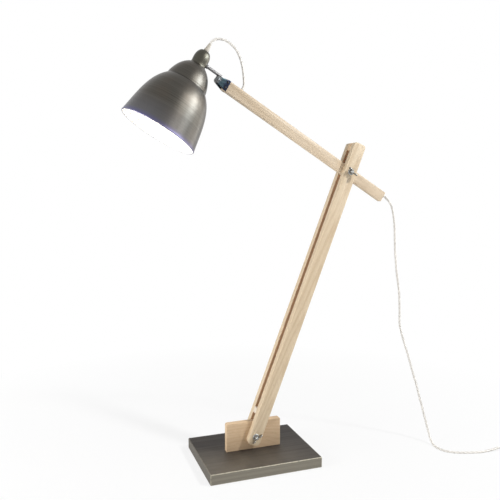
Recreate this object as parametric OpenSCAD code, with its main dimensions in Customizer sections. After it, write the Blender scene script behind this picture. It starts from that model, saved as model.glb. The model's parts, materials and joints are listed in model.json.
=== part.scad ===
// Swing-arm floor lamp: a weighted steel base, a slotted wooden post, a wooden arm that tilts in
// the slot, and a spun metal shade on a tilting knuckle. Sizes are in millimetres.
// +X runs along the base towards the tail of the arm, +Y to the back and +Z up.
// The origin is the centre of the base's underside.

/* [Base] */
// Length of the base along X
base_w = 300; // [260:1:360]
// Depth of the base along Y
base_d = 232; // [200:1:280]
// Height of the base's top above the floor
base_h = 28; // [24:0.5:36]
// Thickness of the folded cover sheet
cover_wall = 1.5; // [1:0.1:2.5]
// Radius of the cover's folded edges
cover_round = 2.5; // [1.5:0.1:4]
// Gap between the cover's lower rim and the floor
rim_gap = 1; // [0.5:0.1:1.4]
// Thickness of the felt under the base
felt_t = 2; // [1.5:0.1:3]
// Thickness of the iron weight inside the base
weight_t = 10; // [6:0.5:14]
// Play all round between the cover and what fills it
fill_play = 0.3; // [0.1:0.1:1]

/* [Foot plank] */
// Length of the upright plank on the base
foot_w = 152; // [120:1:200]
// Height of the upright plank
foot_h = 76; // [70:1:90]
// Radius of the plank's top corners
foot_round = 5; // [2:0.5:15]
// Distance of each long screw from the middle of the plank
foot_screw_x = 48; // [30:1:55]
// Shank diameter of the long screws
foot_screw_d = 5; // [4:0.1:6]
// Depth that the long screws reach into the plank
foot_screw_bite = 42; // [25:1:55]

/* [Post] */
// Thickness of the boards that turn in the post's slot
stock_t = 15.4; // [12:0.1:20]
// Play on each side of a board in the slot
slot_play = 0.3; // [0.2:0.05:0.6]
// Thickness of each plank of the post
plank_t = 17; // [12:0.5:22]
// Width of the post
plank_w = 35; // [30:0.5:42]
// Distance between the two pivots
pivot_span = 750; // [600:5:900]
// Lean of the post from the vertical, towards +X
post_lean = 21.1; // [0:0.1:25]
// Length of the post above the upper pivot
post_above = 80; // [65:1:100]
// Length of the post below the lower pivot
post_below = 23; // [18:0.5:30]
// Radius of the post's top corners
post_top_round = 8; // [3:0.5:12]
// Radius of the post's bottom corners
post_foot_round = 12; // [6:0.5:14]
// Length of the block that closes the top of the slot
top_block_l = 23.5; // [12:0.5:28]
// Height of the lower block above the lower pivot
low_block_at = 55.5; // [54:0.5:80]
// Length of the lower block
low_block_l = 15.5; // [8:0.5:30]

/* [Pivot bolts] */
// Diameter of the pivot bolts
bolt_d = 6; // [5:0.5:8]
// Radial play of a board on its bolt
bolt_play = 0.08; // [0.05:0.01:0.1]
// Diameter of the bolts' domed heads
bolt_head_d = 16; // [13:0.5:20]
// Height of the bolts' domed heads
bolt_head_h = 4; // [3:0.5:6]
// Diameter of the washers
washer_d = 18; // [14:0.5:22]
// Thickness of the washers
washer_t = 1.6; // [1:0.1:2.5]
// Length of the bolt that shows past its wing nut
bolt_end = 2.5; // [1:0.5:5]
// Diameter of a wing nut's hub at its foot
nut_hub_d = 12; // [10:0.5:16]
// Height of a wing nut's hub
nut_hub_h = 8; // [6:0.5:12]
// Span across the wings
nut_span = 33; // [28:0.5:40]
// Height of the wings
nut_wing_h = 16; // [13:0.5:20]
// Thickness of the wings
nut_wing_t = 2.4; // [1.5:0.1:3.5]
// Turn of the lower wing nut, from level, seen from the front
low_nut_turn = 36; // [0:1:180]
// Turn of the upper wing nut, from level, seen from the front
top_nut_turn = 135; // [0:1:180]

/* [Arm] */
// Height of the arm's section
arm_w = 28.5; // [26:0.5:36]
// Distance from the upper pivot to the head pivot
arm_reach = 426; // [300:1:550]
// Length of the arm behind the upper pivot
arm_tail = 131; // [80:1:200]
// Turn of the arm from square to the post
arm_turn = 10.4; // [-20:0.1:40]
// Radius of the corners at the arm's tail
arm_round = 2; // [0.5:0.5:6]
// Distance from the upper pivot to the hole where the cord goes in
cord_entry = 361; // [200:1:365]
// Diameter of the cord
cord_d = 5.6; // [4:0.1:6]
// Radial play of the cord in its bore
cord_play = 0.4; // [0.2:0.1:0.6]
// Wood left between the bolt and the cord's bore
bore_wall = 0.9; // [0.6:0.1:1.2]

/* [Arm bracket] */
// Thickness of the bracket's two plates
bracket_t = 2; // [1.2:0.1:3]
// Length of the plates behind the head pivot
bracket_back = 30; // [28:0.5:40]
// Length at the back of the plates that has the arm's full height
bracket_full = 6; // [3:0.5:10]
// Radius of the plates' nose round the head pivot
nose_r = 7; // [6.5:0.1:10]
// Gap between the head pivot and the end of the wood
wood_gap = 18; // [17:0.5:19]
// Distance of the bracket's screws behind the head pivot
bracket_screw_x = 24; // [22.5:0.1:25]
// Height of the bracket's screws above and below the arm's middle
bracket_screw_z = 7; // [4:0.5:9]
// Shank diameter of the bracket's screws
bracket_screw_d = 3; // [2:0.1:3.5]
// Length of the bracket's screws in the wood
bracket_screw_l = 6; // [4:0.5:7]
// Diameter of the head pivot's screw
pin_d = 5; // [4:0.1:6]
// Thickness of the friction washers beside the knuckle
disc_t = 1.2; // [0.8:0.1:2]
// Play of the knuckle between the friction washers, each side
disc_play = 0.15; // [0.1:0.05:0.3]
// Radius of the knuckle's eye
eye_r = 6.5; // [6:0.1:7]

/* [Shade support] */
// Diameter of the chrome rod
rod_d = 8; // [6:0.5:9]
// Height of the rod above the head pivot
rod_rise = 12; // [11.5:0.5:14]
// Length of the rod behind the head pivot, up to its domed end
rod_tail = 3.5; // [0:0.5:4]
// Distance from the head pivot to the shade's axis
shade_offset = 60; // [57:0.5:90]
// Height above the rim where the rod enters the cap
rod_entry_h = 203; // [202:0.5:209]
// Diameter of the collar on the rod
collar_d = 10.5; // [10:0.5:14]
// Length of the collar
collar_l = 4; // [3:0.5:8]

/* [Shade] */
// Diameter of the shade's rim
rim_d = 199; // [180:1:230]
// Height of the crease between the bell and the dome
crease_h = 135; // [125:0.5:145]
// Diameter of the shade at the crease
crease_d = 109; // [100:1:130]
// Height of the shade's flat top
neck_h = 191; // [188:0.5:194]
// Diameter of the shade's neck
neck_d = 42; // [41:0.1:48]
// Thickness of the spun sheet
shade_wall = 1.2; // [0.8:0.1:2]
// Radius of the rolled rim
rim_bead = 1.6; // [1.2:0.1:2.5]
// Outer diameter of the cap at its widest
cap_d = 40; // [40:0.5:42]
// Height of the cap above the neck
cap_h = 41; // [39:0.5:50]
// Thickness of the cap
cap_wall = 1.5; // [1:0.1:2]

/* [Lampholder and bulb] */
// Outer diameter of the lampholder's skirt
holder_d = 32; // [31:0.5:32.5]
// Length of the skirt below the shade's top
holder_skirt = 40; // [30:1:44]
// Diameter of the holder's flange on the shade's top
holder_flange_d = 34; // [33.5:0.5:35]
// Diameter of the holder's dome inside the cap
holder_dome_d = 22; // [20:0.5:22.5]
// Outer diameter of the ring that clamps the shade
ring_d = 44; // [40:0.5:46]
// Height of the ring
ring_h = 8; // [5:0.5:10]
// Diameter of the bulb's metal cap
bulb_cap_d = 26.4; // [24:0.1:27]
// Play of the bulb's cap in the holder
bulb_play = 0.4; // [0.2:0.1:0.8]
// Diameter of the bulb
bulb_d = 60; // [45:1:66]
// Length of the bulb's glass
bulb_l = 84; // [75:1:92]
// Thickness of the bulb's glass
glass_t = 1; // [0.6:0.1:1.5]
// Diameter of the threaded tube through the cap's top
tube_d = 10; // [9:0.5:12]
// Length of the cord's tapered sleeve
gland_l = 22; // [20:1:40]
// Diameter of the sleeve at the cap
gland_d = 11; // [10.5:0.5:14]

/* [Lead] */
// Height of the in-line switch
switch_h = 20.6; // [18:0.2:24]
// Length of the switch
switch_l = 62; // [54:1:80]
// Width of the switch
switch_w = 26; // [24:0.5:34]
// Length of each tapered sleeve on the lead
sleeve_l = 22; // [20:1:40]
// Tilt of the rocker at rest
rocker_tilt = 8; // [4:0.5:10]
// Play of the rocker in its well
rocker_play = 0.4; // [0.2:0.05:0.6]
// Distance between neighbouring turns of the coil
coil_pitch = 6.6; // [6.4:0.1:8]
// Distance between the coil's two layers
layer_step = 6.4; // [6.2:0.1:8]
// Radius of the coil's outermost turn
coil_r = 37.2; // [34:0.1:44]
// Thickness of the tie round the coil
tie_t = 0.8; // [0.5:0.1:1.5]
// Width of the tie
tie_w = 8; // [5:0.5:12]
// Thickness of the plug
plug_t = 14; // [12:0.5:18]
// Width of the plug
plug_w = 35; // [32:0.5:40]
// Length of the plug's body
plug_l = 36; // [30:1:45]
// Diameter of the plug's pins
plug_pin_d = 4; // [3.5:0.1:5]
// Length of the plug's pins
plug_pin_l = 19; // [15:0.5:22]
// Distance between the plug's pins
plug_pin_gap = 18.6; // [16:0.1:20]

/* [Hidden] */

$fn = 64;
cut = 1;

steel_dark = [0.36, 0.33, 0.30];
beech = [0.87, 0.77, 0.62];
beech_foot = [0.80, 0.67, 0.52];
chrome = [0.80, 0.81, 0.83];
zinc = [0.70, 0.70, 0.68];
iron = [0.25, 0.25, 0.26];
blued = [0.20, 0.27, 0.33];
white = [0.93, 0.92, 0.89];

// Places along the stack of the base
cover_inner_h = base_h - cover_wall;
board_z = felt_t + weight_t;
felt_inset = 3;
foot_screw_head_h = 3;
foot_screw_play = 0.3;
screw_fit = 0.05;

// Places across the post
slot_w = stock_t + 2 * slot_play;
post_t = slot_w + 2 * plank_t;
pivot_z = base_h + foot_h / 2;
post_top = pivot_span + post_above;
nut_y = -post_t / 2 - washer_t;
bolt_hole_d = bolt_d + 2 * bolt_play;

// The cord's bore passes just above the upper bolt and turns up out of the arm
bore_d = cord_d + 2 * cord_play;
bore_z = bolt_d / 2 + bolt_play + bore_wall + bore_d / 2;
elbow_r = arm_w / 2 - bore_z;

// Places at the head pivot, where x runs back along the arm
knuckle_w = stock_t - 2 * disc_t - 2 * disc_play;
bracket_out_w = stock_t + 2 * bracket_t;
pin_head_h = 3;
pin_slot_w = 1.2;
pin_nut_t = 4;
pin_end = 1.5;
rim_drop = rod_entry_h - rod_rise;
rod_nut_t = 4;
rod_nut_d = 14;
cap_waist = 0.6;
rod_nut_face = sqrt(pow(cap_d / 2 - cap_waist - cap_wall, 2) - pow(rod_nut_d / 2, 2)) - screw_fit;

// Heights inside the shade, above the rim
holder_flange_h = 3;
holder_dome_top = neck_h + holder_flange_h + 21;
cap_top = neck_h + cap_h;
skirt_foot = neck_h - holder_skirt;
bulb_cap_l = 24;
bulb_cap_room = 4;
bulb_foot_h = skirt_foot + 2;
tube_seat = 10;
tube_top = 6;
gland_tip_d = 7.6;
gland_tip_h = cap_top + gland_l;

// The lead on the floor: the switch, the coil and the plug lie past the lamp's right side
lead_r = cord_d / 2;
tie_gap = 0.3;
coil_low_z = lead_r + tie_t + tie_gap;
coil_top_z = coil_low_z + layer_step;
switch_x = 684;
switch_y = -190;
switch_axis_z = switch_h / 2;
sleeve_out_x = switch_x + switch_l + sleeve_l;
coil_lead_in = 2 * cord_d;
coil_x = sleeve_out_x + coil_lead_in;
coil_y = switch_y + coil_r;
coil_wind = 1.875;
coil_dip = 1.2;
plug_x = coil_x + coil_r;
plug_y = coil_y + 44;
plug_axis_z = plug_t / 2;
plug_sleeve_l = 25;
sleeve_d = 12;

// Frames: each one is carried by the frame before it
module in_post() {
    translate([0, 0, pivot_z]) rotate([0, post_lean, 0]) children();
}

module in_arm() {
    in_post() translate([0, 0, pivot_span]) rotate([0, arm_turn, 0]) children();
}

module in_head() {
    in_arm() translate([-arm_reach, 0, 0]) children();
}

module in_shade() {
    in_head() translate([-shade_offset, 0, -rim_drop]) children();
}

// World place of a point of the arm's frame
arm_slope = post_lean + arm_turn;
top_pivot = [pivot_span * sin(post_lean), 0, pivot_z + pivot_span * cos(post_lean)];
function arm_point(x, z) = top_pivot
    + x * [cos(arm_slope), 0, -sin(arm_slope)] + z * [sin(arm_slope), 0, cos(arm_slope)];
function shade_point(h) = arm_point(-arm_reach - shade_offset, h - rim_drop);

// Routes of the free cord, in the lamp's frame
cord_start = 4;
cord_end = 6;
head_loop = [
    [-103, 1083], [-93, 1087], [-82, 1087], [-72, 1085], [-62, 1080], [-54, 1074], [-46, 1067],
    [-40, 1058], [-35, 1048], [-31, 1037], [-28, 1025], [-26, 1013], [-25, 1002], [-24, 990],
    [-24, 980]
];
head_route = concat(
    [shade_point(gland_tip_h), shade_point(gland_tip_h + cord_start)],
    [for (p = head_loop) [p[0], 0, p[1]]],
    [arm_point(-cord_entry, arm_w / 2 + cord_end), arm_point(-cord_entry, arm_w / 2)]
);
lead_middle = [448, 0, 400];
upper_route = [
    arm_point(arm_tail, bore_z), arm_point(arm_tail + 9, bore_z), [403, 0, 689], [411, 0, 678],
    [417, 0, 664], [421, 0, 648], [424, 0, 631], [426, 0, 613], [427, 0, 595], [428, 0, 577],
    [429, 0, 559], [430, 0, 541], [432, 0, 523], [434, 0, 505], [436, 0, 487], [439, 0, 469],
    [442, 0, 451], [445, 0, 434], [447, 0, 417], lead_middle
];
lower_route = [
    lead_middle, [449, 0, 383], [450, 0, 366], [450, 0, 349], [450, -1, 332], [453, -3, 315],
    [457, -5, 298], [462, -7, 281], [466, -10, 264], [471, -13, 247], [475, -16, 230],
    [479, -19, 213], [483, -22, 196], [487, -25, 179], [491, -29, 162], [494, -33, 145],
    [497, -37, 128], [500, -41, 111], [503, -46, 94], [505, -51, 77], [507, -57, 60],
    [508, -64, 44], [508, -72, 29], [507, -82, 16], [505, -94, 7], [503, -108, 3],
    [503, -123, lead_r], [507, -138, lead_r], [516, -151, lead_r], [529, -161, lead_r],
    [544, -168, lead_r], [560, -174, lead_r], [577, -179, lead_r], [594, -183, lead_r],
    [611, -186, 4], [628, -188, 6], [643, -190, 9], [653, switch_y, switch_axis_z],
    [switch_x - sleeve_l, switch_y, switch_axis_z]
];

// A coil wound in along its top layer, down in half a turn, and out along its bottom layer
coil_in_turn = 360 * coil_wind;
coil_all_turn = 2 * coil_in_turn + 180;
coil_in_r = coil_r - coil_pitch * coil_wind;
function coil_radius(a) =
    a < coil_in_turn ? coil_r - coil_pitch * a / 360
    : a < coil_in_turn + 180 ? coil_in_r - coil_dip * sin(a - coil_in_turn)
    : coil_in_r + coil_pitch * (a - coil_in_turn - 180) / 360;
function coil_height(a) =
    a < coil_in_turn ? coil_top_z
    : a < coil_in_turn + 180 ? coil_low_z + layer_step * (1 + cos(a - coil_in_turn)) / 2
    : coil_low_z;
coil_step = 15;
coil_turns = [
    for (a = [0 : coil_step : coil_all_turn])
        [coil_x + coil_radius(a) * sin(a), coil_y - coil_radius(a) * cos(a), coil_height(a)]
];
coil_route = concat(
    [[sleeve_out_x, switch_y, switch_axis_z], [sleeve_out_x + cord_d, switch_y, switch_axis_z]],
    coil_turns,
    [
        [plug_x, coil_y + 12, coil_low_z + 0.3], [plug_x, coil_y + 24, coil_low_z + 1.8],
        [plug_x, plug_y - cord_d, plug_axis_z], [plug_x, plug_y, plug_axis_z]
    ]
);

// Least gap of a route to itself, between places further apart along it than some rings
function own_gap(route, apart) = min([
    for (i = [0 : len(route) - 1]) for (j = [i + apart : 1 : len(route) - 1])
        norm(route[i] - route[j])
]) - cord_d;
function route_length(route, i = 1) =
    i >= len(route) ? 0 : norm(route[i] - route[i - 1]) + route_length(route, i + 1);
echo(coil_gap = own_gap(coil_route, 12), coil_length = route_length(coil_route));
echo(head_length = route_length(head_route), upper_length = route_length(upper_route),
    lower_length = route_length(lower_route));

// A tube swept along a route, its section carried on without twisting
function unit(v) = v / norm(v);
function heading(route, i) = unit(route[min(i + 1, len(route) - 1)] - route[max(i - 1, 0)]);
function square_to(v, t) = unit(v - (v * t) * t);
function sides_along(route) = [
    for (i = 0, n = square_to([0.1, 0.2, 1], heading(route, 0)); i < len(route);
        i = i + 1, n = square_to(n, heading(route, min(i, len(route) - 1)))) n
];

module swept_tube(route, d, sides) {
    rings = len(route);
    across = sides_along(route);
    points = [
        for (i = [0 : rings - 1]) for (k = [0 : sides - 1])
            let (a = 360 * k / sides, up = cross(heading(route, i), across[i]))
            route[i] + d / 2 * (cos(a) * across[i] + sin(a) * up)
    ];
    wall = [
        for (i = [0 : rings - 2]) for (k = [0 : sides - 1])
            let (p = i * sides + k, q = i * sides + (k + 1) % sides)
            each [[p, p + sides, q + sides], [p, q + sides, q]]
    ];
    last = (rings - 1) * sides;
    ends = [for (k = [1 : sides - 2]) each [[0, k, k + 1], [last, last + k + 1, last + k]]];
    polyhedron(points = points, faces = concat(wall, ends), convexity = 10);
}

// Common shapes

// A block with its upright edges and its top edges rounded, centred on x and y
module soft_top_block(w, d, h, r) {
    translate([-w / 2 + r, -d / 2, 0]) cube([w - 2 * r, d, h - r]);
    translate([-w / 2, -d / 2 + r, 0]) cube([w, d - 2 * r, h - r]);
    translate([-w / 2 + r, -d / 2 + r, 0]) cube([w - 2 * r, d - 2 * r, h]);
    for (x = [-1, 1]) for (y = [-1, 1]) translate([x * (w / 2 - r), y * (d / 2 - r), 0]) {
        cylinder(r = r, h = h - r);
        translate([0, 0, h - r]) sphere(r = r);
    }
    for (y = [-1, 1]) translate([-w / 2 + r, y * (d / 2 - r), h - r])
        rotate([0, 90, 0]) cylinder(r = r, h = w - 2 * r);
    for (x = [-1, 1]) translate([x * (w / 2 - r), -d / 2 + r, h - r])
        rotate([-90, 0, 0]) cylinder(r = r, h = d - 2 * r);
}

// Outline of a bar along y with rounded corners at its low and its high end
module bar_outline(w, low, high, low_r, high_r) {
    translate([-w / 2, low + low_r]) square([w, high - low - low_r - high_r]);
    translate([-w / 2 + low_r, low]) square([w - 2 * low_r, low_r]);
    translate([-w / 2 + high_r, high - high_r]) square([w - 2 * high_r, high_r]);
    for (x = [-1, 1]) {
        translate([x * (w / 2 - low_r), low + low_r]) circle(r = low_r);
        translate([x * (w / 2 - high_r), high - high_r]) circle(r = high_r);
    }
}

// Extrudes an outline drawn in x and z by a thickness along y, from a starting y
module along_y(from, t) {
    translate([0, from + t, 0]) rotate([90, 0, 0]) linear_extrude(height = t) children();
}

// A cylinder along y from a starting y
module rod_y(d, from, l) {
    translate([0, from, 0]) rotate([-90, 0, 0]) cylinder(d = d, h = l);
}

// A shallow dome on z = 0
module dome(d, h) {
    ball_r = (d * d / 4 + h * h) / (2 * h);
    intersection() {
        translate([0, 0, h - ball_r]) sphere(r = ball_r, $fn = 128);
        cylinder(d = d, h = h);
    }
}

// A point of a cubic curve, and the direction across it
function curve(p, t) = pow(1 - t, 3) * p[0] + 3 * pow(1 - t, 2) * t * p[1]
    + 3 * (1 - t) * t * t * p[2] + pow(t, 3) * p[3];
function curve_points(p, n) = [for (i = [0 : n]) curve(p, i / n)];
function inward(points, i) =
    let (t = unit(points[min(i + 1, len(points) - 1)] - points[max(i - 1, 0)])) [-t[1], t[0]];
function inset(points, wall) = [
    for (i = [0 : len(points) - 1]) points[i] + wall * inward(points, i)
];
function without_first(points) = [for (i = [1 : len(points) - 1]) points[i]];

// Base

module foot_screw_places() {
    for (x = [-1, 1]) translate([x * foot_screw_x, 0, 0]) children();
}

module base_cover() {
    color(steel_dark) difference() {
        translate([0, 0, rim_gap]) soft_top_block(base_w, base_d, base_h - rim_gap, cover_round);
        translate([-base_w / 2 + cover_wall, -base_d / 2 + cover_wall, -cut])
            cube([base_w - 2 * cover_wall, base_d - 2 * cover_wall, cover_inner_h + cut]);
        foot_screw_places() cylinder(d = foot_screw_d + 2 * foot_screw_play, h = base_h + cut);
    }
}

// A slab that fills the cover from side to side
module filling(low, high) {
    w = base_w - 2 * cover_wall - 2 * fill_play;
    d = base_d - 2 * cover_wall - 2 * fill_play;
    difference() {
        translate([-w / 2, -d / 2, low]) cube([w, d, high - low]);
        foot_screw_places() translate([0, 0, low - cut])
            cylinder(d = foot_screw_d + 2 * foot_screw_play, h = high - low + 2 * cut);
    }
}

module base_board() {
    color(beech_foot) filling(board_z, cover_inner_h);
}

// The iron weight is countersunk below for the screws' heads
module base_weight() {
    color(iron) difference() {
        filling(felt_t, board_z);
        foot_screw_places() translate([0, 0, felt_t]) foot_screw_head(foot_screw_play);
        foot_screw_places() translate([0, 0, felt_t - cut])
            cylinder(d = 2 * foot_screw_d + 2 * foot_screw_play, h = cut);
    }
}

module base_felt() {
    w = base_w - 2 * cover_wall - 2 * felt_inset;
    d = base_d - 2 * cover_wall - 2 * felt_inset;
    color([0.15, 0.15, 0.15]) translate([-w / 2, -d / 2, 0]) cube([w, d, felt_t]);
}

// Foot plank

module foot_plank() {
    color(beech_foot) difference() {
        along_y(-stock_t / 2, stock_t) translate([0, base_h]) {
            translate([-foot_w / 2, 0]) square([foot_w, foot_h - foot_round]);
            translate([-foot_w / 2 + foot_round, 0]) square([foot_w - 2 * foot_round, foot_h]);
            for (x = [-1, 1]) translate([x * (foot_w / 2 - foot_round), foot_h - foot_round])
                circle(r = foot_round);
        }
        translate([0, 0, pivot_z]) rod_y(bolt_hole_d, -stock_t / 2 - cut, stock_t + 2 * cut);
        foot_screw_places() translate([0, 0, base_h - cut])
            cylinder(d = foot_screw_d + 2 * screw_fit, h = foot_screw_bite + screw_fit + cut);
    }
}

module foot_screw_head(play) {
    cylinder(d1 = 2 * foot_screw_d + 2 * play, d2 = foot_screw_d + 2 * play, h = foot_screw_head_h);
}

module foot_screws() {
    color(zinc) foot_screw_places() {
        translate([0, 0, felt_t]) foot_screw_head(0);
        translate([0, 0, felt_t + foot_screw_head_h])
            cylinder(d = foot_screw_d, h = base_h + foot_screw_bite - felt_t - foot_screw_head_h);
    }
}

// Post

module post_outline() {
    bar_outline(plank_w, -post_below, post_top, post_foot_round, post_top_round);
}

module post_plank(from) {
    difference() {
        along_y(from, plank_t) post_outline();
        for (z = [0, pivot_span]) translate([0, 0, z])
            rod_y(bolt_hole_d, from - cut, plank_t + 2 * cut);
    }
}

module post_front_plank() {
    color(beech) in_post() post_plank(-post_t / 2);
}

module post_rear_plank() {
    color(beech) in_post() post_plank(slot_w / 2);
}

module post_top_block() {
    color(beech) in_post() along_y(-slot_w / 2, slot_w) intersection() {
        post_outline();
        translate([-plank_w, post_top - top_block_l]) square([2 * plank_w, top_block_l]);
    }
}

module post_low_block() {
    color(beech) in_post()
        translate([-plank_w / 2, -slot_w / 2, low_block_at]) cube([plank_w, slot_w, low_block_l]);
}

// Pivot bolts, washers and wing nuts; both sets are alike

module pivot_bolt() {
    tip = nut_y - nut_hub_h - bolt_end;
    rod_y(bolt_d, tip, post_t / 2 - tip);
    translate([0, post_t / 2, 0]) rotate([-90, 0, 0]) dome(bolt_head_d, bolt_head_h);
}

module pivot_washer() {
    difference() {
        rod_y(washer_d, nut_y, washer_t);
        rod_y(bolt_hole_d, nut_y - cut, washer_t + 2 * cut);
    }
}

// Outline of one wing, from the hub outwards and upwards
module wing_outline() {
    lobe_r = nut_wing_h / 3;
    lobe = [nut_span / 2 - lobe_r, nut_wing_h - lobe_r];
    hub_r = nut_hub_d / 4;
    translate(lobe) circle(r = lobe_r);
    polygon([
        [hub_r, 1], lobe + lobe_r * [cos(-45), sin(-45)], lobe + lobe_r * [cos(135), sin(135)],
        [hub_r, nut_hub_h]
    ]);
}

module wing_nut() {
    difference() {
        union() {
            cylinder(d1 = nut_hub_d, d2 = 0.8 * nut_hub_d, h = nut_hub_h);
            for (side = [0, 180]) rotate([0, 0, side])
                rotate([90, 0, 0]) translate([0, 0, -nut_wing_t / 2])
                    linear_extrude(height = nut_wing_t) wing_outline();
        }
        translate([0, 0, -cut]) cylinder(d = bolt_hole_d, h = nut_wing_h + 2 * cut);
    }
}

module placed_wing_nut(turn) {
    translate([0, nut_y, 0]) rotate([90, 0, 0]) rotate([0, 0, turn + post_lean]) wing_nut();
}

module at_upper_pivot() {
    translate([0, 0, pivot_span]) children();
}

module lower_bolt() {
    color(zinc) in_post() pivot_bolt();
}

module upper_bolt() {
    color(zinc) in_post() at_upper_pivot() pivot_bolt();
}

module lower_washer() {
    color(zinc) in_post() pivot_washer();
}

module upper_washer() {
    color(zinc) in_post() at_upper_pivot() pivot_washer();
}

module lower_wing_nut() {
    color(chrome) in_post() placed_wing_nut(low_nut_turn);
}

module upper_wing_nut() {
    color(chrome) in_post() at_upper_pivot() placed_wing_nut(top_nut_turn);
}

// Arm

// The cord's way through the arm: down from the top in a quarter turn, then back along it
module cord_way(d, over) {
    translate([-cord_entry + elbow_r, 0, arm_w / 2]) rotate([90, 0, 0]) rotate([0, 0, 180])
        rotate_extrude(angle = 90) translate([elbow_r, 0]) circle(d = d);
    translate([-cord_entry + elbow_r, 0, bore_z]) rotate([0, 90, 0])
        cylinder(d = d, h = cord_entry - elbow_r + arm_tail + over);
}

module arm_beam() {
    wood_end = -arm_reach + wood_gap;
    color(beech) in_arm() difference() {
        along_y(-stock_t / 2, stock_t) rotate([0, 0, -90])
            bar_outline(arm_w, wood_end, arm_tail, arm_round, arm_round);
        rod_y(bolt_hole_d, -stock_t / 2 - cut, stock_t + 2 * cut);
        cord_way(bore_d, cut);
        translate([-cord_entry, 0, arm_w / 2]) cylinder(d = bore_d, h = cut);
        translate([-arm_reach, 0, 0]) bracket_screw_shanks(screw_fit);
    }
}

module arm_cord() {
    color(white) in_arm() cord_way(cord_d, 0);
}

// Bracket on the end of the arm: a plate on each side, tapered to a round nose at the head pivot

// Point where a line from an outside point touches a circle round the origin, on one side of it
function touch(p, r, side) =
    let (a = atan2(p[1], p[0]) + side * acos(r / norm(p))) r * [cos(a), sin(a)];

module bracket_outline() {
    high = [bracket_back - bracket_full, arm_w / 2];
    low = [high[0], -high[1]];
    circle(r = nose_r);
    polygon([
        touch(high, nose_r, 1), high, [bracket_back, high[1]],
        [bracket_back, low[1]], low, touch(low, nose_r, -1)
    ]);
}

module arm_bracket() {
    color(blued) in_head() for (y = [-bracket_out_w / 2, stock_t / 2]) difference() {
        along_y(y, bracket_t) bracket_outline();
        rod_y(pin_d + 2 * bolt_play, y - cut, bracket_t + 2 * cut);
        bracket_screw_places() translate([0, 0, -cut])
            cylinder(d = bracket_screw_d + 2 * bolt_play, h = bracket_t + 2 * cut);
    }
}

// Each screw stands with z outwards and z = 0 on the side of the wood
module bracket_screw_places() {
    for (z = [-1, 1]) for (side = [-1, 1])
        translate([bracket_screw_x, side * stock_t / 2, z * bracket_screw_z])
            rotate([-90 * side, 0, 0]) children();
}

module bracket_screw_shanks(play) {
    bracket_screw_places() translate([0, 0, -bracket_screw_l - play])
        cylinder(d = bracket_screw_d + 2 * play, h = bracket_screw_l + bracket_t + play);
}

module bracket_screws() {
    color(iron) in_head() {
        bracket_screw_shanks(0);
        bracket_screw_places() translate([0, 0, bracket_t])
            dome(2 * bracket_screw_d, 0.6 * bracket_screw_d);
    }
}

module head_pivot_screw() {
    color(chrome) in_head() {
        rod_y(pin_d, -bracket_out_w / 2, bracket_out_w + pin_nut_t + pin_end);
        translate([0, -bracket_out_w / 2, 0]) rotate([90, 0, 0]) difference() {
            dome(1.8 * pin_d, pin_head_h);
            translate([-pin_d, -pin_slot_w / 2, 0.55 * pin_head_h])
                cube([2 * pin_d, pin_slot_w, pin_head_h]);
        }
    }
}

module head_pivot_nut() {
    color(zinc) in_head() difference() {
        translate([0, bracket_out_w / 2, 0]) rotate([-90, 0, 0])
            cylinder(d = 1.85 * pin_d, h = pin_nut_t, $fn = 6);
        rod_y(pin_d + 2 * bolt_play, bracket_out_w / 2 - cut, pin_nut_t + 2 * cut);
    }
}

module friction_washers() {
    color(zinc) in_head() for (y = [-stock_t / 2, stock_t / 2 - disc_t]) difference() {
        rod_y(2 * eye_r, y, disc_t);
        rod_y(pin_d + 2 * bolt_play, y - cut, disc_t + 2 * cut);
    }
}

// Knuckle: an eye on the pivot with a neck whose top is a saddle for the rod

module knuckle() {
    neck_l = 9;
    neck_w = 10;
    neck_front = 7;
    saddle_drop = 0.8;
    color([0.18, 0.18, 0.19]) in_head() difference() {
        union() {
            rod_y(2 * eye_r, -knuckle_w / 2, knuckle_w);
            translate([-neck_front, -neck_w / 2, 0]) cube([neck_l, neck_w, rod_rise - saddle_drop]);
        }
        rod_y(pin_d + 2 * bolt_play, -knuckle_w, 2 * knuckle_w);
        translate([-2 * neck_l, 0, rod_rise]) rotate([0, 90, 0])
            cylinder(d = rod_d + 2 * screw_fit, h = 4 * neck_l);
    }
}

// Rod from the knuckle to the shade's cap, with a domed free end

module support_rod() {
    tip_x = -shade_offset + rod_nut_face - rod_nut_t - 1;
    color(chrome) in_head() translate([0, 0, rod_rise]) {
        translate([rod_tail, 0, 0]) sphere(d = rod_d);
        translate([tip_x, 0, 0]) rotate([0, 90, 0]) cylinder(d = rod_d, h = rod_tail - tip_x);
    }
}

module rod_collar() {
    out_x = cap_d / 2 + collar_l;
    color(chrome) in_shade() difference() {
        translate([0, 0, rod_entry_h]) rotate([0, 90, 0]) cylinder(d = collar_d, h = out_x);
        translate([0, 0, rod_entry_h]) rotate([0, 90, 0])
            cylinder(d = rod_d + 2 * screw_fit, h = out_x + cut);
        cap_solid(screw_fit);
    }
}

module rod_nut() {
    color(zinc) in_shade() translate([0, 0, rod_entry_h]) rotate([0, 90, 0]) difference() {
        translate([0, 0, rod_nut_face - rod_nut_t]) cylinder(d = rod_nut_d, h = rod_nut_t, $fn = 6);
        cylinder(d = rod_d + 2 * screw_fit, h = cap_d);
    }
}

// Shade: one spun sheet, a bell below a crease and a dome above it, with a flat top

rim_edge = [rim_d / 2, 0];
crease_edge = [crease_d / 2, crease_h];
neck_edge = [neck_d / 2, neck_h];
bell_points = curve_points([rim_edge, rim_edge + [-9.3, 50], crease_edge + [33, -33], crease_edge], 16);
dome_points = curve_points([crease_edge, crease_edge + [-5, 19], neck_edge + [23, -14.5], neck_edge], 12);
crease_in = [crease_d / 2 - shade_wall, crease_h - 0.6 * shade_wall];

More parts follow.
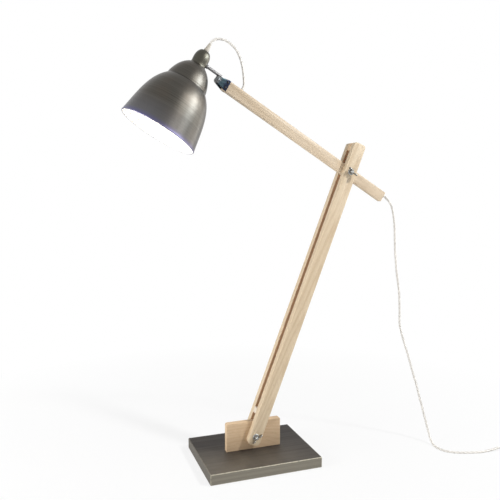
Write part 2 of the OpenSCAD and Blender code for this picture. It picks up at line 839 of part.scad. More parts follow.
module shade_shell() {
    bell_in = inset(bell_points, shade_wall);
    dome_in = inset(dome_points, shade_wall);
    inner = concat(
        [for (i = [0 : len(bell_in) - 2]) bell_in[i]], [crease_in],
        [for (i = [1 : len(dome_in) - 2]) dome_in[i]],
        [[neck_d / 2 - shade_wall, neck_h - shade_wall]]
    );
    hole_r = holder_d / 2 + fill_play;
    color(steel_dark) in_shade() rotate_extrude($fn = 128) {
        polygon(concat(
            bell_points, without_first(dome_points),
            [[hole_r, neck_h], [hole_r, neck_h - shade_wall]],
            [for (i = [len(inner) - 1 : -1 : 0]) inner[i]]
        ));
        translate([rim_d / 2 - rim_bead, rim_bead / 2]) circle(r = rim_bead, $fn = 32);
    }
}

// Cap over the lampholder: a waisted cup with a domed top

cap_foot = [cap_d / 2 - 0.3, neck_h];
cap_shoulder = [cap_d / 2 - cap_waist, neck_h + 24];
cap_peak = [tube_d / 2 + 1.5, cap_top];
cap_points = concat(
    curve_points([cap_foot, cap_foot + [-1.7, 8], cap_shoulder + [1.6, -10], cap_shoulder], 8),
    without_first(curve_points(
        [cap_shoulder, cap_shoulder + [-1.6, 10], [cap_d / 2 - 7, cap_top], cap_peak], 10))
);

module cap_solid(more = 0) {
    wider = [for (p = cap_points) p + [more, 0]];
    rotate_extrude($fn = 128) polygon(concat([[0, neck_h]], wider, [[0, cap_top]]));
}

module shade_cap() {
    inner = inset(cap_points, cap_wall);
    inner_top = cap_top - cap_wall;
    color(steel_dark) in_shade() difference() {
        cap_solid();
        rotate_extrude($fn = 128) polygon(concat(
            [[0, neck_h - cut], [inner[0][0], neck_h - cut]],
            [for (p = inner) if (p[1] < inner_top - cap_wall / 3) p],
            [[tube_d / 2 + 1, inner_top], [0, inner_top]]
        ));
        translate([0, 0, neck_h]) cylinder(d = tube_d + 2 * screw_fit, h = cap_h + cut);
        translate([0, 0, rod_entry_h]) rotate([0, 90, 0])
            cylinder(d = rod_d + 2 * screw_fit, h = cap_d);
    }
}

// Lampholder, the ring that clamps the shade to it, and the tube that holds the cap down

module lampholder() {
    skirt_bore = bulb_cap_d + 2 * bulb_play;
    color(white) in_shade() difference() {
        union() {
            translate([0, 0, skirt_foot]) cylinder(d = holder_d, h = holder_skirt);
            translate([0, 0, neck_h]) cylinder(d = holder_flange_d, h = holder_flange_h);
            translate([0, 0, neck_h + holder_flange_h])
                cylinder(d = holder_dome_d, h = holder_dome_top - neck_h - holder_flange_h);
        }
        translate([0, 0, skirt_foot - cut]) cylinder(d = skirt_bore, h = bulb_cap_l + bulb_cap_room + cut);
        translate([0, 0, holder_dome_top - tube_seat])
            cylinder(d = tube_d + 2 * screw_fit, h = tube_seat + cut);
    }
}

module holder_ring() {
    color(white) in_shade() translate([0, 0, neck_h - shade_wall - ring_h]) difference() {
        intersection() {
            cylinder(d = ring_d, h = ring_h);
            cylinder(d1 = ring_d + 2, d2 = neck_d - 6, h = ring_h);
        }
        translate([0, 0, -cut]) cylinder(d = holder_d + 2 * screw_fit, h = ring_h + 2 * cut);
    }
}

module threaded_tube() {
    low = holder_dome_top - tube_seat;
    tube_l = cap_top + tube_top - low;
    color([0.75, 0.62, 0.35]) in_shade() translate([0, 0, low]) difference() {
        cylinder(d = tube_d, h = tube_l);
        translate([0, 0, -cut]) cylinder(d = bore_d, h = tube_l + 2 * cut);
    }
}

// Tapered sleeve that the cord leaves the cap through
module cord_gland() {
    skirt_h = 7;
    color(white) in_shade() translate([0, 0, cap_top]) difference() {
        union() {
            cylinder(d = gland_d + 2, h = skirt_h);
            translate([0, 0, skirt_h]) cylinder(d1 = gland_d, d2 = gland_tip_d, h = gland_l - skirt_h);
        }
        translate([0, 0, -cut]) cylinder(d = tube_d + 2 * screw_fit, h = tube_top + screw_fit + cut);
    }
}

// Bulb: its metal screw cap in the holder and its glass below

module bulb_cap() {
    contact_d = 10;
    contact_h = 2;
    cone_h = 4;
    thread_l = bulb_cap_l - cone_h - contact_h;
    color(zinc) in_shade() translate([0, 0, bulb_foot_h]) {
        cylinder(d = bulb_cap_d, h = thread_l);
        translate([0, 0, thread_l]) cylinder(d1 = bulb_cap_d, d2 = contact_d + 2, h = cone_h);
        translate([0, 0, thread_l + cone_h]) cylinder(d = contact_d, h = contact_h);
    }
}

module bulb_glass() {
    tip_h = bulb_foot_h - bulb_l;
    ball_h = tip_h + bulb_d / 2;
    neck_r = bulb_cap_d / 2 - 0.6;
    neck_l = 22;
    round_end = 20;
    shoulder_l = 10;
    round_part = [
        for (a = [-90 : 10 : round_end]) [bulb_d / 2 * cos(a), ball_h + bulb_d / 2 * sin(a)]
    ];
    shoulder = round_part[len(round_part) - 1];
    neck_part = curve_points([
        shoulder, shoulder + shoulder_l * [-sin(round_end), cos(round_end)],
        [neck_r, bulb_foot_h - neck_l], [neck_r, bulb_foot_h]
    ], 8);
    outer = concat(round_part, without_first(neck_part));
    inner = inset(outer, glass_t);
    last = len(outer) - 1;
    color([0.96, 0.94, 0.88]) in_shade() rotate_extrude() polygon(concat(
        outer, [[inner[last][0], bulb_foot_h]],
        [for (i = [last - 1 : -1 : 1]) inner[i]], [[0, tip_h + glass_t]]
    ));
}

// Free cord

module head_cord() {
    color(white) swept_tube(head_route, cord_d, 10);
}

module lead_upper() {
    color(white) swept_tube(upper_route, cord_d, 10);
}

module lead_lower() {
    color(white) swept_tube(lower_route, cord_d, 10);
}

module lead_coil() {
    color(white) swept_tube(coil_route, cord_d, 6);
}

// A strap round the coil's turns at the side nearest the lamp
module coil_tie() {
    inner_w = coil_pitch + coil_r - coil_in_r - coil_pitch / 2 + 2;
    inner_h = layer_step + cord_d + 2 * tie_gap;
    color([0.2, 0.2, 0.2])
        translate([coil_x - coil_r - lead_r + 0.6, coil_y - tie_w / 2, 0]) difference() {
            translate([-tie_t, 0, 0]) cube([inner_w + 2 * tie_t, tie_w, inner_h + 2 * tie_t]);
            translate([0, -cut, tie_t]) cube([inner_w, tie_w + 2 * cut, inner_h]);
        }
}

// In-line switch: two shells that meet at the height of the lead, and a rocker in the upper one

module in_switch() {
    translate([switch_x + switch_l / 2, switch_y, 0]) children();
}

module switch_outline() {
    rotate([0, 0, 90])
        bar_outline(switch_w, -switch_l / 2, switch_l / 2, switch_round, switch_round);
}

switch_round = 9;
switch_floor = 3;
switch_room = [32, 16];
rocker_r = 10;
rocker_w = 11;
rocker_pin_d = 3;
rocker_pin_l = 16;
rocker_z = switch_h - 4;
rocker_edge = 6.4;
rocker_dish = 1.8;
switch_screw_x = switch_l / 2 - 7;
switch_screw_d = 5;
switch_screw_h = 1.6;
switch_screw_deep = 2;
switch_slot = 0.8;

module switch_base() {
    color(white) in_switch() difference() {
        linear_extrude(height = switch_axis_z) switch_outline();
        translate([-switch_room[0] / 2, -switch_room[1] / 2, switch_floor])
            cube([switch_room[0], switch_room[1], switch_h]);
        for (x = [-1, 1]) translate([x * switch_screw_x, 0, -cut])
            cylinder(d = switch_screw_d + rocker_play, h = switch_screw_deep + cut);
    }
}

module switch_cover() {
    well_l = 2 * (rocker_r + rocker_play);
    well_w = rocker_w + 2 * rocker_play;
    color(white) in_switch() difference() {
        translate([0, 0, switch_axis_z]) linear_extrude(height = switch_h - switch_axis_z)
            switch_outline();
        translate([-well_l / 2, -well_w / 2, 0]) cube([well_l, well_w, switch_h + cut]);
        translate([0, 0, rocker_z]) rod_y(
            rocker_pin_d + 2 * bolt_play, -rocker_pin_l / 2 - rocker_play, rocker_pin_l + 2 * rocker_play
        );
    }
}

// The rocker's ends are round about its pin, and its top is dished
module switch_rocker() {
    color([0.85, 0.84, 0.80]) in_switch() translate([0, 0, rocker_z]) rotate([0, rocker_tilt, 0]) {
        along_y(-rocker_w / 2, rocker_w) intersection() {
            circle(r = rocker_r);
            polygon([
                [-rocker_r, rocker_edge], [0, rocker_edge - rocker_dish], [rocker_r, rocker_edge],
                [rocker_r, -0.5], [0, -4], [-rocker_r, -0.5]
            ]);
        }
        rod_y(rocker_pin_d, -rocker_pin_l / 2, rocker_pin_l);
    }
}

module switch_screws() {
    color(zinc) in_switch() for (x = [-1, 1])
        translate([x * switch_screw_x, 0, switch_screw_deep - switch_screw_h]) difference() {
            cylinder(d = switch_screw_d, h = switch_screw_h);
            translate([-switch_screw_d, -switch_slot / 2, -cut])
                cube([2 * switch_screw_d, switch_slot, switch_slot + cut]);
        }
}

module switch_sleeves() {
    color(white) in_switch() for (side = [-1, 1])
        translate([side * switch_l / 2, 0, switch_axis_z]) rotate([0, 90 * side, 0])
            cylinder(d1 = sleeve_d, d2 = gland_tip_d, h = sleeve_l);
}

// Flat two-pin plug with its tapered sleeve

module in_plug() {
    translate([plug_x, plug_y, plug_axis_z]) children();
}

module plug_body() {
    shoulder_w = 0.5 * plug_w;
    color(white) in_plug() {
        rotate([-90, 0, 0]) cylinder(d1 = gland_tip_d, d2 = sleeve_d, h = plug_sleeve_l);
        translate([0, plug_sleeve_l, -plug_t / 2]) linear_extrude(height = plug_t) {
            translate([-plug_w / 2, plug_l / 3]) square([plug_w, plug_l - plug_l / 3]);
            polygon([
                [-shoulder_w / 2, 0], [shoulder_w / 2, 0],
                [plug_w / 2, plug_l / 3], [-plug_w / 2, plug_l / 3]
            ]);
        }
    }
}

module plug_pins() {
    color(zinc) in_plug() for (x = [-1, 1]) translate([x * plug_pin_gap / 2, 0, 0]) {
        rod_y(plug_pin_d, plug_sleeve_l + plug_l, plug_pin_l - plug_pin_d / 2);
        translate([0, plug_sleeve_l + plug_l + plug_pin_l - plug_pin_d / 2, 0]) sphere(d = plug_pin_d);
    }
}

base_cover();
base_board();
base_weight();
base_felt();
foot_plank();
foot_screws();
post_front_plank();
post_rear_plank();
post_top_block();
post_low_block();
lower_bolt();
upper_bolt();
lower_washer();
upper_washer();
lower_wing_nut();
upper_wing_nut();
arm_beam();
arm_cord();
arm_bracket();
bracket_screws();
head_pivot_screw();
head_pivot_nut();
friction_washers();
knuckle();
support_rod();
rod_collar();
rod_nut();
shade_shell();
shade_cap();
lampholder();
holder_ring();
threaded_tube();
cord_gland();
bulb_cap();
bulb_glass();
head_cord();
lead_upper();
lead_lower();
switch_base();
switch_cover();
switch_rocker();
switch_screws();
switch_sleeves();
lead_coil();
coil_tie();
plug_body();
plug_pins();
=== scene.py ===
"""Swing-arm floor lamp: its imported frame, dressed piece by piece for a picture."""
import json
from math import atan2, cos, degrees, pi, radians, sin

import bmesh
import bpy
from mathutils import Matrix, Vector
from mathutils.geometry import convex_hull_2d


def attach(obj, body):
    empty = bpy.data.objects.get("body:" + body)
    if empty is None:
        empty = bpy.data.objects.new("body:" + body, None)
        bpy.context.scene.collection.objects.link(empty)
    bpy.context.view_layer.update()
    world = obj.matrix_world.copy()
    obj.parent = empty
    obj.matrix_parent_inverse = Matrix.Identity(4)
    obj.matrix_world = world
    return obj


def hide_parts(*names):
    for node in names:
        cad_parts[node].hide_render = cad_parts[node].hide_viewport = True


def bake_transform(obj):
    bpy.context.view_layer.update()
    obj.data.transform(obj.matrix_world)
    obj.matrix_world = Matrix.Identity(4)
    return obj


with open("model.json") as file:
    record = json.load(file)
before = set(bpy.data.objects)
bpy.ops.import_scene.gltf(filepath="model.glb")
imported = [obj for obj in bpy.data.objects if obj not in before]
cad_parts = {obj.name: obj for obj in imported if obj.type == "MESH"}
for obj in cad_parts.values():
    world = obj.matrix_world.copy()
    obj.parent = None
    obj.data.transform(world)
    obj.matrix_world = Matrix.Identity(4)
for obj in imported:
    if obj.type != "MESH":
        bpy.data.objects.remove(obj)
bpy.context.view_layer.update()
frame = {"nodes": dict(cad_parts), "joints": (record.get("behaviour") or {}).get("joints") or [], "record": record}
nodes = frame["nodes"]
scene = bpy.context.scene
scene.view_settings.view_transform = "Standard"


# Base cover
# A shallow box folded from steel sheet, brushed along its length, browned and lacquered.
# It sits over the board and the weight; its folded edges are rubbed bright, and along the front a painted
# highlight makes them lighter still.


def feed(node, values):
    """Sets a node's inputs by name or number: links a socket or a list of them, or fixes a value."""
    for key, value in values.items():
        socket = node.inputs[key]
        if isinstance(value, bpy.types.NodeSocket):
            value = [value]
        if isinstance(value, list):
            for source in value:
                node.id_data.links.new(source, socket)
        elif socket.type == "RGBA":
            socket.default_value = (*value, 1.0)
        else:
            socket.default_value = value


def add(tree, kind, values=None, **settings):
    """Adds a node with its settings and inputs."""
    made = tree.nodes.new(kind)
    for key, value in settings.items():
        setattr(made, key, value)
    feed(made, values or {})
    return made


def out(kind, values, **settings):
    """Adds a node to the tree of the sockets that feed it and gives its first output."""
    tree = next(value.id_data for value in values.values() if isinstance(value, bpy.types.NodeSocket))
    return add(tree, kind, values, **settings).outputs[0]


def calc(operation, *values):
    """One step of arithmetic on numbers or sockets."""
    return out("ShaderNodeMath", dict(enumerate(values)), operation=operation)


def times(first, second):
    """A product of numbers or sockets."""
    return calc("MULTIPLY", first, second)


def plus(first, second):
    """A sum of numbers or sockets."""
    return calc("ADD", first, second)


def vector_calc(operation, *vectors):
    """One step of arithmetic on vectors."""
    return out("ShaderNodeVectorMath", dict(enumerate(vectors)), operation=operation)


def measured(operation, *vectors):
    """A number taken from vectors, such as a length."""
    return vector_calc(operation, *vectors).node.outputs["Value"]


def scaled(vector, factors):
    """A vector or a colour with each of its parts multiplied."""
    return vector_calc("MULTIPLY", vector, factors)


def split(vector):
    """The x, y and z of a vector."""
    return add(vector.id_data, "ShaderNodeSeparateXYZ", {0: vector}).outputs


def ranged(value, low, high, to_low=0.0, to_high=1.0):
    """A value's place between two limits, kept between two results."""
    return out("ShaderNodeMapRange", {0: value, 1: low, 2: high, 3: to_low, 4: to_high})


def mixed(factor, first, second):
    """A colour between two others."""
    values = {0: factor, 6: first, 7: second}
    return add(factor.id_data, "ShaderNodeMix", values, data_type="RGBA").outputs[2]


def noise(vector, scale, detail=2.0, roughness=0.5):
    """Uneven values about a half, finer where the scale is larger."""
    values = {"Vector": vector, "Scale": scale, "Detail": detail, "Roughness": roughness}
    return out("ShaderNodeTexNoise", values)


def new_group(name, kind, inputs, outputs):
    """An empty node group with named inputs and outputs, each of a kind of socket."""
    group = bpy.data.node_groups.new(name, kind + "NodeTree")
    for side, sockets in (("INPUT", inputs), ("OUTPUT", outputs)):
        for label, what in sockets.items():
            group.interface.new_socket(label, in_out=side, socket_type="NodeSocket" + what)
    return group, add(group, "NodeGroupInput").outputs, add(group, "NodeGroupOutput")


def placed_group(group, values):
    """Places a shader group in a material and gives its outputs."""
    return add(values["Vector"].id_data, "ShaderNodeGroup", values, node_tree=group).outputs


def new_material(name):
    """A material, its Principled node and the coordinates of the piece."""
    material = bpy.data.materials.new(name)
    material.use_nodes = True
    tree = material.node_tree
    return material, tree.nodes["Principled BSDF"], add(tree, "ShaderNodeTexCoord").outputs["Object"]


def raised(height, strength, distance=0.0003):
    """The normal of a surface with fine relief."""
    return out("ShaderNodeBump", {"Height": height, "Strength": strength, "Distance": distance})


def dress(material, *names):
    """Puts a material on CAD pieces that show as they are."""
    for name in names:
        nodes[name].data.materials.clear()
        nodes[name].data.materials.append(material)


# Lines left by an abrasive, long one way and close together the other, and slow patches of tone
brushing, given, gives = new_group(
    "brushing", "Shader", {"Vector": "Vector", "Lines": "Vector", "Patches": "Float"},
    {"Streak": "Float", "Patch": "Float"},
)
line_place = scaled(given["Vector"], given["Lines"])
fine_lines = times(noise(line_place, 1.0, 3.0, 0.6), 0.55)
wide_lines = times(noise(line_place, 0.23, 2.0, 0.5), 0.45)
all_lines = plus(fine_lines, wide_lines)
patches = noise(given["Vector"], given["Patches"], 3.0)
feed(gives, {
    "Streak": ranged(all_lines, 0.34, 0.66),
    "Patch": ranged(patches, 0.32, 0.68),
})

# Where a box of a given half size is rubbed: along its edges, unevenly
worn_edges, given, gives = new_group(
    "worn edges", "Shader", {"Vector": "Vector", "Half Size": "Vector", "Width": "Float"}, {"Mask": "Float"}
)
from_middle = vector_calc("ABSOLUTE", given["Vector"])
to_face = split(vector_calc("SUBTRACT", given["Half Size"], from_middle))
near_two = calc("MINIMUM", to_face[0], to_face[1])
far_two = calc("MAXIMUM", to_face[0], to_face[1])
to_edge = calc("MAXIMUM", near_two, calc("MINIMUM", far_two, to_face[2]))
uneven = times(noise(given["Vector"], 130.0, 4.0, 0.65), 1.4)
reach = times(given["Width"], uneven)
share = calc("DIVIDE", to_edge, reach)
feed(gives, {"Mask": ranged(share, 0.3, 1.0, 1.0, 0.0)})

base_half = (0.150, 0.116, 0.014)
base_high = 2.0 * base_half[2]
cover_metal, skin, place = new_material("browned_steel_base")
brushed = placed_group(brushing, {"Vector": place, "Lines": (3.5, 520.0, 520.0), "Patches": 16.0})
on_cover = split(place)
top_steel = mixed(brushed["Streak"], (0.028, 0.023, 0.020), (0.045, 0.038, 0.033))
# The top is painted lighter and browner towards the front and the left as a painted sheen, broken into slow
# patches.
front_painted_sheen = ranged(on_cover[1], 0.05, -0.09, 0.0, 0.85)
left_painted_sheen = ranged(on_cover[0], 0.13, -0.05, 0.2, 1.0)
cloudy = ranged(brushed["Patch"], 0.0, 1.0, 0.6, 1.0)
painted_sheen_in_patches = times(times(left_painted_sheen, front_painted_sheen), cloudy)
top_tone = mixed(painted_sheen_in_patches, top_steel, (0.170, 0.146, 0.114))
# The sides are painted much lighter than the top as a painted reflection, though both are the same browned sheet.
side_painted_reflection = mixed(brushed["Streak"], (0.185, 0.168, 0.134), (0.245, 0.226, 0.184))
# The left side is painted darker than the front as painted shade.
left_side_painted_shade = ranged(on_cover[0], 0.003 - base_half[0], 0.001 - base_half[0])
side_tone = mixed(left_side_painted_shade, side_painted_reflection, (0.118, 0.107, 0.088))
# Here the top and side tones meet, so browned holds the browned steel together with its painted sheen, reflection
# and shade.
on_side = ranged(on_cover[2], base_high - 0.0008, base_high - 0.0026)
browned = mixed(on_side, top_tone, side_tone)
from_centre = vector_calc("ADD", place, (0.0, 0.0, -base_half[2]))
rubbed = placed_group(worn_edges, {"Vector": from_centre, "Half Size": base_half, "Width": 0.0034})["Mask"]
# All edges are worn a little bright; along the front they are lighter still as a painted highlight.
front_edge_painted_highlight = ranged(on_cover[1], 0.006 - base_half[1], 0.003 - base_half[1], 0.25, 0.8)
wear_and_painted_highlight = times(rubbed, front_edge_painted_highlight)
feed(skin, {
    "Base Color": mixed(wear_and_painted_highlight, browned, (0.46, 0.425, 0.335)),
    "Roughness": ranged(brushed["Streak"], 0.0, 1.0, 0.64, 0.52),
    "Metallic": 0.55,
    "Specular IOR Level": 0.3,
    "Normal": raised(brushed["Streak"], 0.10, 0.0004),
})
dress(cover_metal, "base_cover")


# Board, weight, felt and foot screws
# A plywood board stiffens the cover from inside and a cast iron slab weights it down.
# Felt is glued underneath, and two zinc plated screws go up through all of it into the foot plank.

board_wood, skin, place = new_material("plywood")
two_plies = 0.0036
ply_edge = calc("FRACT", calc("DIVIDE", split(place)[2], two_plies))
ply = mixed(ranged(ply_edge, 0.35, 0.65), (0.50, 0.36, 0.22), (0.62, 0.47, 0.30))
veins = noise(scaled(place, (6.0, 180.0, 180.0)), 1.0, 4.0)
feed(skin, {
    "Base Color": mixed(ranged(veins, 0.3, 0.8, 0.0, 0.5), ply, (0.40, 0.27, 0.15)),
    "Roughness": 0.7,
    "Normal": raised(veins, 0.2),
})
dress(board_wood, "base_board")

cast_iron, skin, place = new_material("cast_iron")
grit = noise(place, 420.0, 5.0, 0.7)
rust = ranged(noise(place, 35.0, 3.0), 0.5, 0.75)
feed(skin, {
    "Base Color": mixed(rust, (0.05, 0.05, 0.052), (0.11, 0.055, 0.03)),
    "Roughness": ranged(grit, 0.3, 0.7, 0.55, 0.8),
    "Metallic": 0.6,
    "Normal": raised(grit, 0.5, 0.0006),
})
dress(cast_iron, "base_weight")

felt, skin, place = new_material("black_felt")
fibres = noise(scaled(place, (700.0, 900.0, 700.0)), 1.0, 5.0, 0.75)
lint = ranged(fibres, 0.3, 0.7)
feed(skin, {
    "Base Color": mixed(lint, (0.014, 0.014, 0.015), (0.05, 0.048, 0.046)),
    "Roughness": 0.95,
    "Sheen Weight": 0.4,
    "Normal": raised(fibres, 0.6, 0.0006),
})
dress(felt, "base_felt")


def metal(name, dark, light, lines, rough, patches=60.0, relief=0.06, metallic=1.0):
    """A metal with its tool marks, slow patches in its shine and a little relief."""
    material, skin, place = new_material(name)
    marks = placed_group(brushing, {"Vector": place, "Lines": lines, "Patches": patches})
    feed(skin, {
        "Base Color": mixed(marks["Streak"], dark, light),
        "Roughness": ranged(marks["Patch"], 0.0, 1.0, rough[0], rough[1]),
        "Metallic": metallic,
        "Normal": raised(marks["Streak"], relief),
    })
    return material


zinc = metal("zinc_plate", (0.38, 0.38, 0.37), (0.60, 0.60, 0.58), (500.0, 60.0, 500.0), (0.24, 0.40))
dress(zinc, "foot_screws")


# Foot plank
# A short upright board of darker beech on the base, flat sawn, its top corners rounded.
# The post straddles it and is clamped to it by the lower bolt.

record = frame["record"]
body_of = {name: body for body, members in record["behaviour"]["bodies"].items() for name in members}
pivots = {joint["child"]: Vector(joint["pos_m"]) for joint in frame["joints"]}


def plain_mesh(name, source):
    """The evaluated form of an object as a mesh of its own."""
    bpy.context.view_layer.update()
    graph = bpy.context.evaluated_depsgraph_get()
    made = bpy.data.meshes.new_from_object(
        source.evaluated_get(graph), preserve_all_data_layers=True, depsgraph=graph
    )
    made.name = name
    return made


def stands_for(piece, *names):
    """A finished piece takes the place of CAD pieces of one body."""
    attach(piece, body_of[names[0]])
    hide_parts(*names)
    return piece


def show(name, mesh):
    """A mesh as an object in the scene."""
    piece = bpy.data.objects.new(name, mesh)
    scene.collection.objects.link(piece)
    return piece


def smoothed(mesh, sharp):
    """Smooth shading with a crease where faces meet at more than an angle."""
    mesh.shade_smooth()
    mesh.set_sharp_from_angle(angle=radians(sharp))


def eased(name, width, material, segments=3, sharp=38.0):
    """A copy of a CAD piece with its sharp edges rounded over."""
    mesh = nodes[name].data.copy()
    form = bmesh.new()
    form.from_mesh(mesh)
    bmesh.ops.remove_doubles(form, verts=form.verts, dist=1e-6)
    bmesh.ops.dissolve_limit(form, angle_limit=radians(0.4), verts=form.verts, edges=form.edges)
    form.to_mesh(mesh)
    form.free()
    piece = show(name + "_eased", mesh)
    bevel = piece.modifiers.new("edges", "BEVEL")
    bevel.width = width
    bevel.segments = segments
    bevel.limit_method = "ANGLE"
    bevel.angle_limit = radians(sharp)
    bevel.use_clamp_overlap = False
    piece.data = plain_mesh(name + "_eased", piece)
    piece.modifiers.clear()
    smoothed(piece.data, 32.0)
    piece.data.materials.clear()
    piece.data.materials.append(material)
    return stands_for(piece, name)


# Sawn wood: growth rings round a pith line beside the board, fibres along x and short flecks
sawn_wood, given, gives = new_group(
    "sawn wood", "Shader",
    {
        "Vector": "Vector", "Pale": "Color", "Dark": "Color", "Pith": "Vector", "Rise": "Float",
        "Ring": "Float", "Flecks": "Float",
    },
    {"Color": "Color", "Roughness": "Float", "Height": "Float"},
)
from_pith = vector_calc("ADD", given["Vector"], given["Pith"])
off = split(from_pith)
depth = plus(off[1], times(off[0], given["Rise"]))
deep_square = times(depth, depth)
side_square = times(off[2], off[2])
ring_r = calc("SQRT", plus(deep_square, side_square))
drift = noise(scaled(from_pith, (2.4, 26.0, 26.0)), 1.0)
sway = times(drift, 2.6)
ring_turn = plus(calc("DIVIDE", ring_r, given["Ring"]), sway)
ring_wave = calc("SINE", times(ring_turn, 2.0 * pi))
ring_tone = ranged(ring_wave, -0.4, 1.0)
fibre = noise(scaled(from_pith, (8.0, 430.0, 430.0)), 1.0, 5.0, 0.6)
fibre_tone = ranged(fibre, 0.32, 0.68)
cloud = noise(scaled(from_pith, (3.0, 22.0, 22.0)), 1.0, 2.0)
fleck = noise(scaled(from_pith, (110.0, 1500.0, 1500.0)), 1.0, 1.0)
fleck_tone = times(ranged(fleck, 0.60, 0.70), given["Flecks"])
ring_share = times(ring_tone, 0.36)
fibre_share = times(fibre_tone, 0.38)
cloud_share = ranged(cloud, 0.35, 0.65, -0.08, 0.22)
tone = plus(plus(ring_share, fibre_share), cloud_share)
board_tone = mixed(ranged(tone, 0.0, 1.0), given["Pale"], given["Dark"])
fleck_dark = scaled(given["Dark"], (0.62, 0.55, 0.50))
fleck_depth = times(fleck_tone, 0.4)
feed(gives, {
    "Color": mixed(fleck_tone, board_tone, fleck_dark),
    "Roughness": ranged(fibre, 0.3, 0.7, 0.46, 0.62),
    "Height": calc("SUBTRACT", fibre, fleck_depth),
})


def timber(name, pale, dark, turn, middle, half, pith, rise, ring, flecks=0.32, slot=0.0):
    """Wood whose grain runs along a board turned about y; edges worn paler, faces in a slot darkened as painted
    shade.
    """
    material, skin, place = new_material(name)
    angle = radians(turn)
    centre = Matrix.Rotation(angle, 3, "Y") @ Vector(middle)
    values = {"Vector": place, "Rotation": (0.0, angle, 0.0), "Location": tuple(-centre)}
    local = out("ShaderNodeMapping", values)
    wood = placed_group(sawn_wood, {
        "Vector": local, "Pale": pale, "Dark": dark, "Pith": pith, "Rise": rise, "Ring": ring,
        "Flecks": flecks,
    })
    rub = placed_group(worn_edges, {"Vector": local, "Half Size": half, "Width": 0.0035})["Mask"]
    edge_tone = tuple(min(1.0, 1.08 * channel) for channel in pale)
    colour = mixed(times(rub, 0.45), wood["Color"], edge_tone)
    # Faces inside the slot are painted dark reddish brown as painted shade.
    if slot:
        across = calc("ABSOLUTE", split(place)[1])
        slot_painted_shade = ranged(across, slot + 0.0001, slot + 0.0006, 0.85, 0.0)
        colour = mixed(slot_painted_shade, colour, (0.52, 0.305, 0.17))
    feed(skin, {
        "Base Color": colour,
        "Roughness": wood["Roughness"],
        "Specular IOR Level": 0.35,
        "Normal": raised(wood["Height"], 0.15),
    })
    return material


foot_wood = timber(
    "dark_beech", (0.69, 0.51, 0.33), (0.60, 0.42, 0.258), 0.0, pivots["post"],
    (0.076, 0.0077, 0.038), (0.03, 0.012, 0.055), 0.32, 0.0085, 0.3,
)
eased("foot_plank", 0.0010, foot_wood)


# Post
# Two straight beech planks side by side with a slot between them, glued to a block at the top
# and to a lower one; sanded smooth, edges eased, oiled.

post_way = pivots["arm"] - pivots["post"]
post_lean = degrees(atan2(post_way.x, post_way.z))
post_turn = 90.0 - post_lean
post_pale = (0.72, 0.592, 0.42)
post_dark = (0.55, 0.412, 0.262)
plank_half = (0.4265, 0.0085, 0.0175)
block_half = (0.01175, 0.008, 0.0175)
slot_half = block_half[1]
post_face = slot_half + 2.0 * plank_half[1]
plank_y = slot_half + plank_half[1]
front_wood = timber(
    "beech_front", post_pale, post_dark, post_turn, (0.1453, -plank_y, 0.4424), plank_half,
    (0.20, 0.045, 0.010), 0.035, 0.0046, slot=slot_half,
)
rear_wood = timber(
    "beech_rear", post_pale, post_dark, post_turn, (0.1453, plank_y, 0.4424), plank_half,
    (0.70, 0.060, -0.012), -0.030, 0.0050, slot=slot_half,
)
# The top block's beech is painted paler and warmer than the planks as painted light, for its faces between the
# planks.
top_block_painted_light_wood = timber(
    "beech_top_block", (0.84, 0.62, 0.40), (0.66, 0.45, 0.26), post_turn,
    (0.2946, 0.0, 0.8294), block_half, (0.1, 0.03, 0.02), 0.1, 0.004,
)
low_wood = timber(
    "beech_low_block", (0.72, 0.63, 0.52), (0.58, 0.48, 0.37), post_turn,
    (0.0303, 0.0, 0.1442), block_half, (0.1, 0.03, 0.02), 0.1, 0.004,
)
eased("post_front_plank", 0.0012, front_wood)
eased("post_rear_plank", 0.0012, rear_wood)
eased("post_top_block", 0.0004, top_block_painted_light_wood)
eased("post_low_block", 0.0008, low_wood)


# Pivot bolts and washers
# Zinc plated steel bolts with low domed heads at the back; their threaded ends stand out of
# the wing nuts in front, over stamped washers.


def vector_of(x=0.0, y=0.0, z=0.0):
    """A vector from its x, y and z."""
    return out("ShaderNodeCombineXYZ", {0: x, 1: y, 2: z})


def line_mesh(name, points):
    """A chain of points as a mesh of edges."""
    mesh = bpy.data.meshes.new(name)
    mesh.from_pydata(points, [(i, i + 1) for i in range(len(points) - 1)], [])
    return mesh


def grown(name, tree, seed, values):
    """The mesh that a geometry tree makes from a seed mesh."""
    source = show(name, seed)
    modifier = source.modifiers.new("form", "NODES")
    modifier.node_group = tree
    for item in tree.interface.items_tree:
        if item.in_out == "INPUT" and item.name in values:
            modifier[item.identifier] = values[item.name]
    made = plain_mesh(name, source)
    bpy.data.objects.remove(source)
    if made.materials[0] is None:
        made.materials.pop(index=0)
    return made


# A profile in x and z turned round z: a grid whose rows take their radius and height from it
turning, given, gives = new_group(
    "turned profile", "Geometry",
    {
        "Geometry": "Geometry", "Segments": "Int", "Outside": "Material", "Inside": "Material",
        "Inside From": "Float",
    },
    {"Geometry": "Geometry"},
)
rows = out("GeometryNodeAttributeDomainSize", {0: given["Geometry"]}, component="MESH")
columns = plus(given["Segments"], 1.0)
sheet = add(turning, "GeometryNodeMeshGrid", {"Vertices X": columns, "Vertices Y": rows})
sheet_uv = split(sheet.outputs[1])
row = calc("ROUND", times(sheet_uv[1], calc("SUBTRACT", rows, 1.0)))
profile_place = add(turning, "GeometryNodeInputPosition").outputs[0]
sample = out(
    "GeometryNodeSampleIndex", {0: given["Geometry"], 1: profile_place, 2: row},
    data_type="FLOAT_VECTOR", domain="POINT",
)
on_profile = split(sample)
way_round = times(sheet_uv[0], 2.0 * pi)
ring_place = vector_of(
    times(on_profile[0], calc("COSINE", way_round)),
    times(on_profile[0], calc("SINE", way_round)), on_profile[2],
)
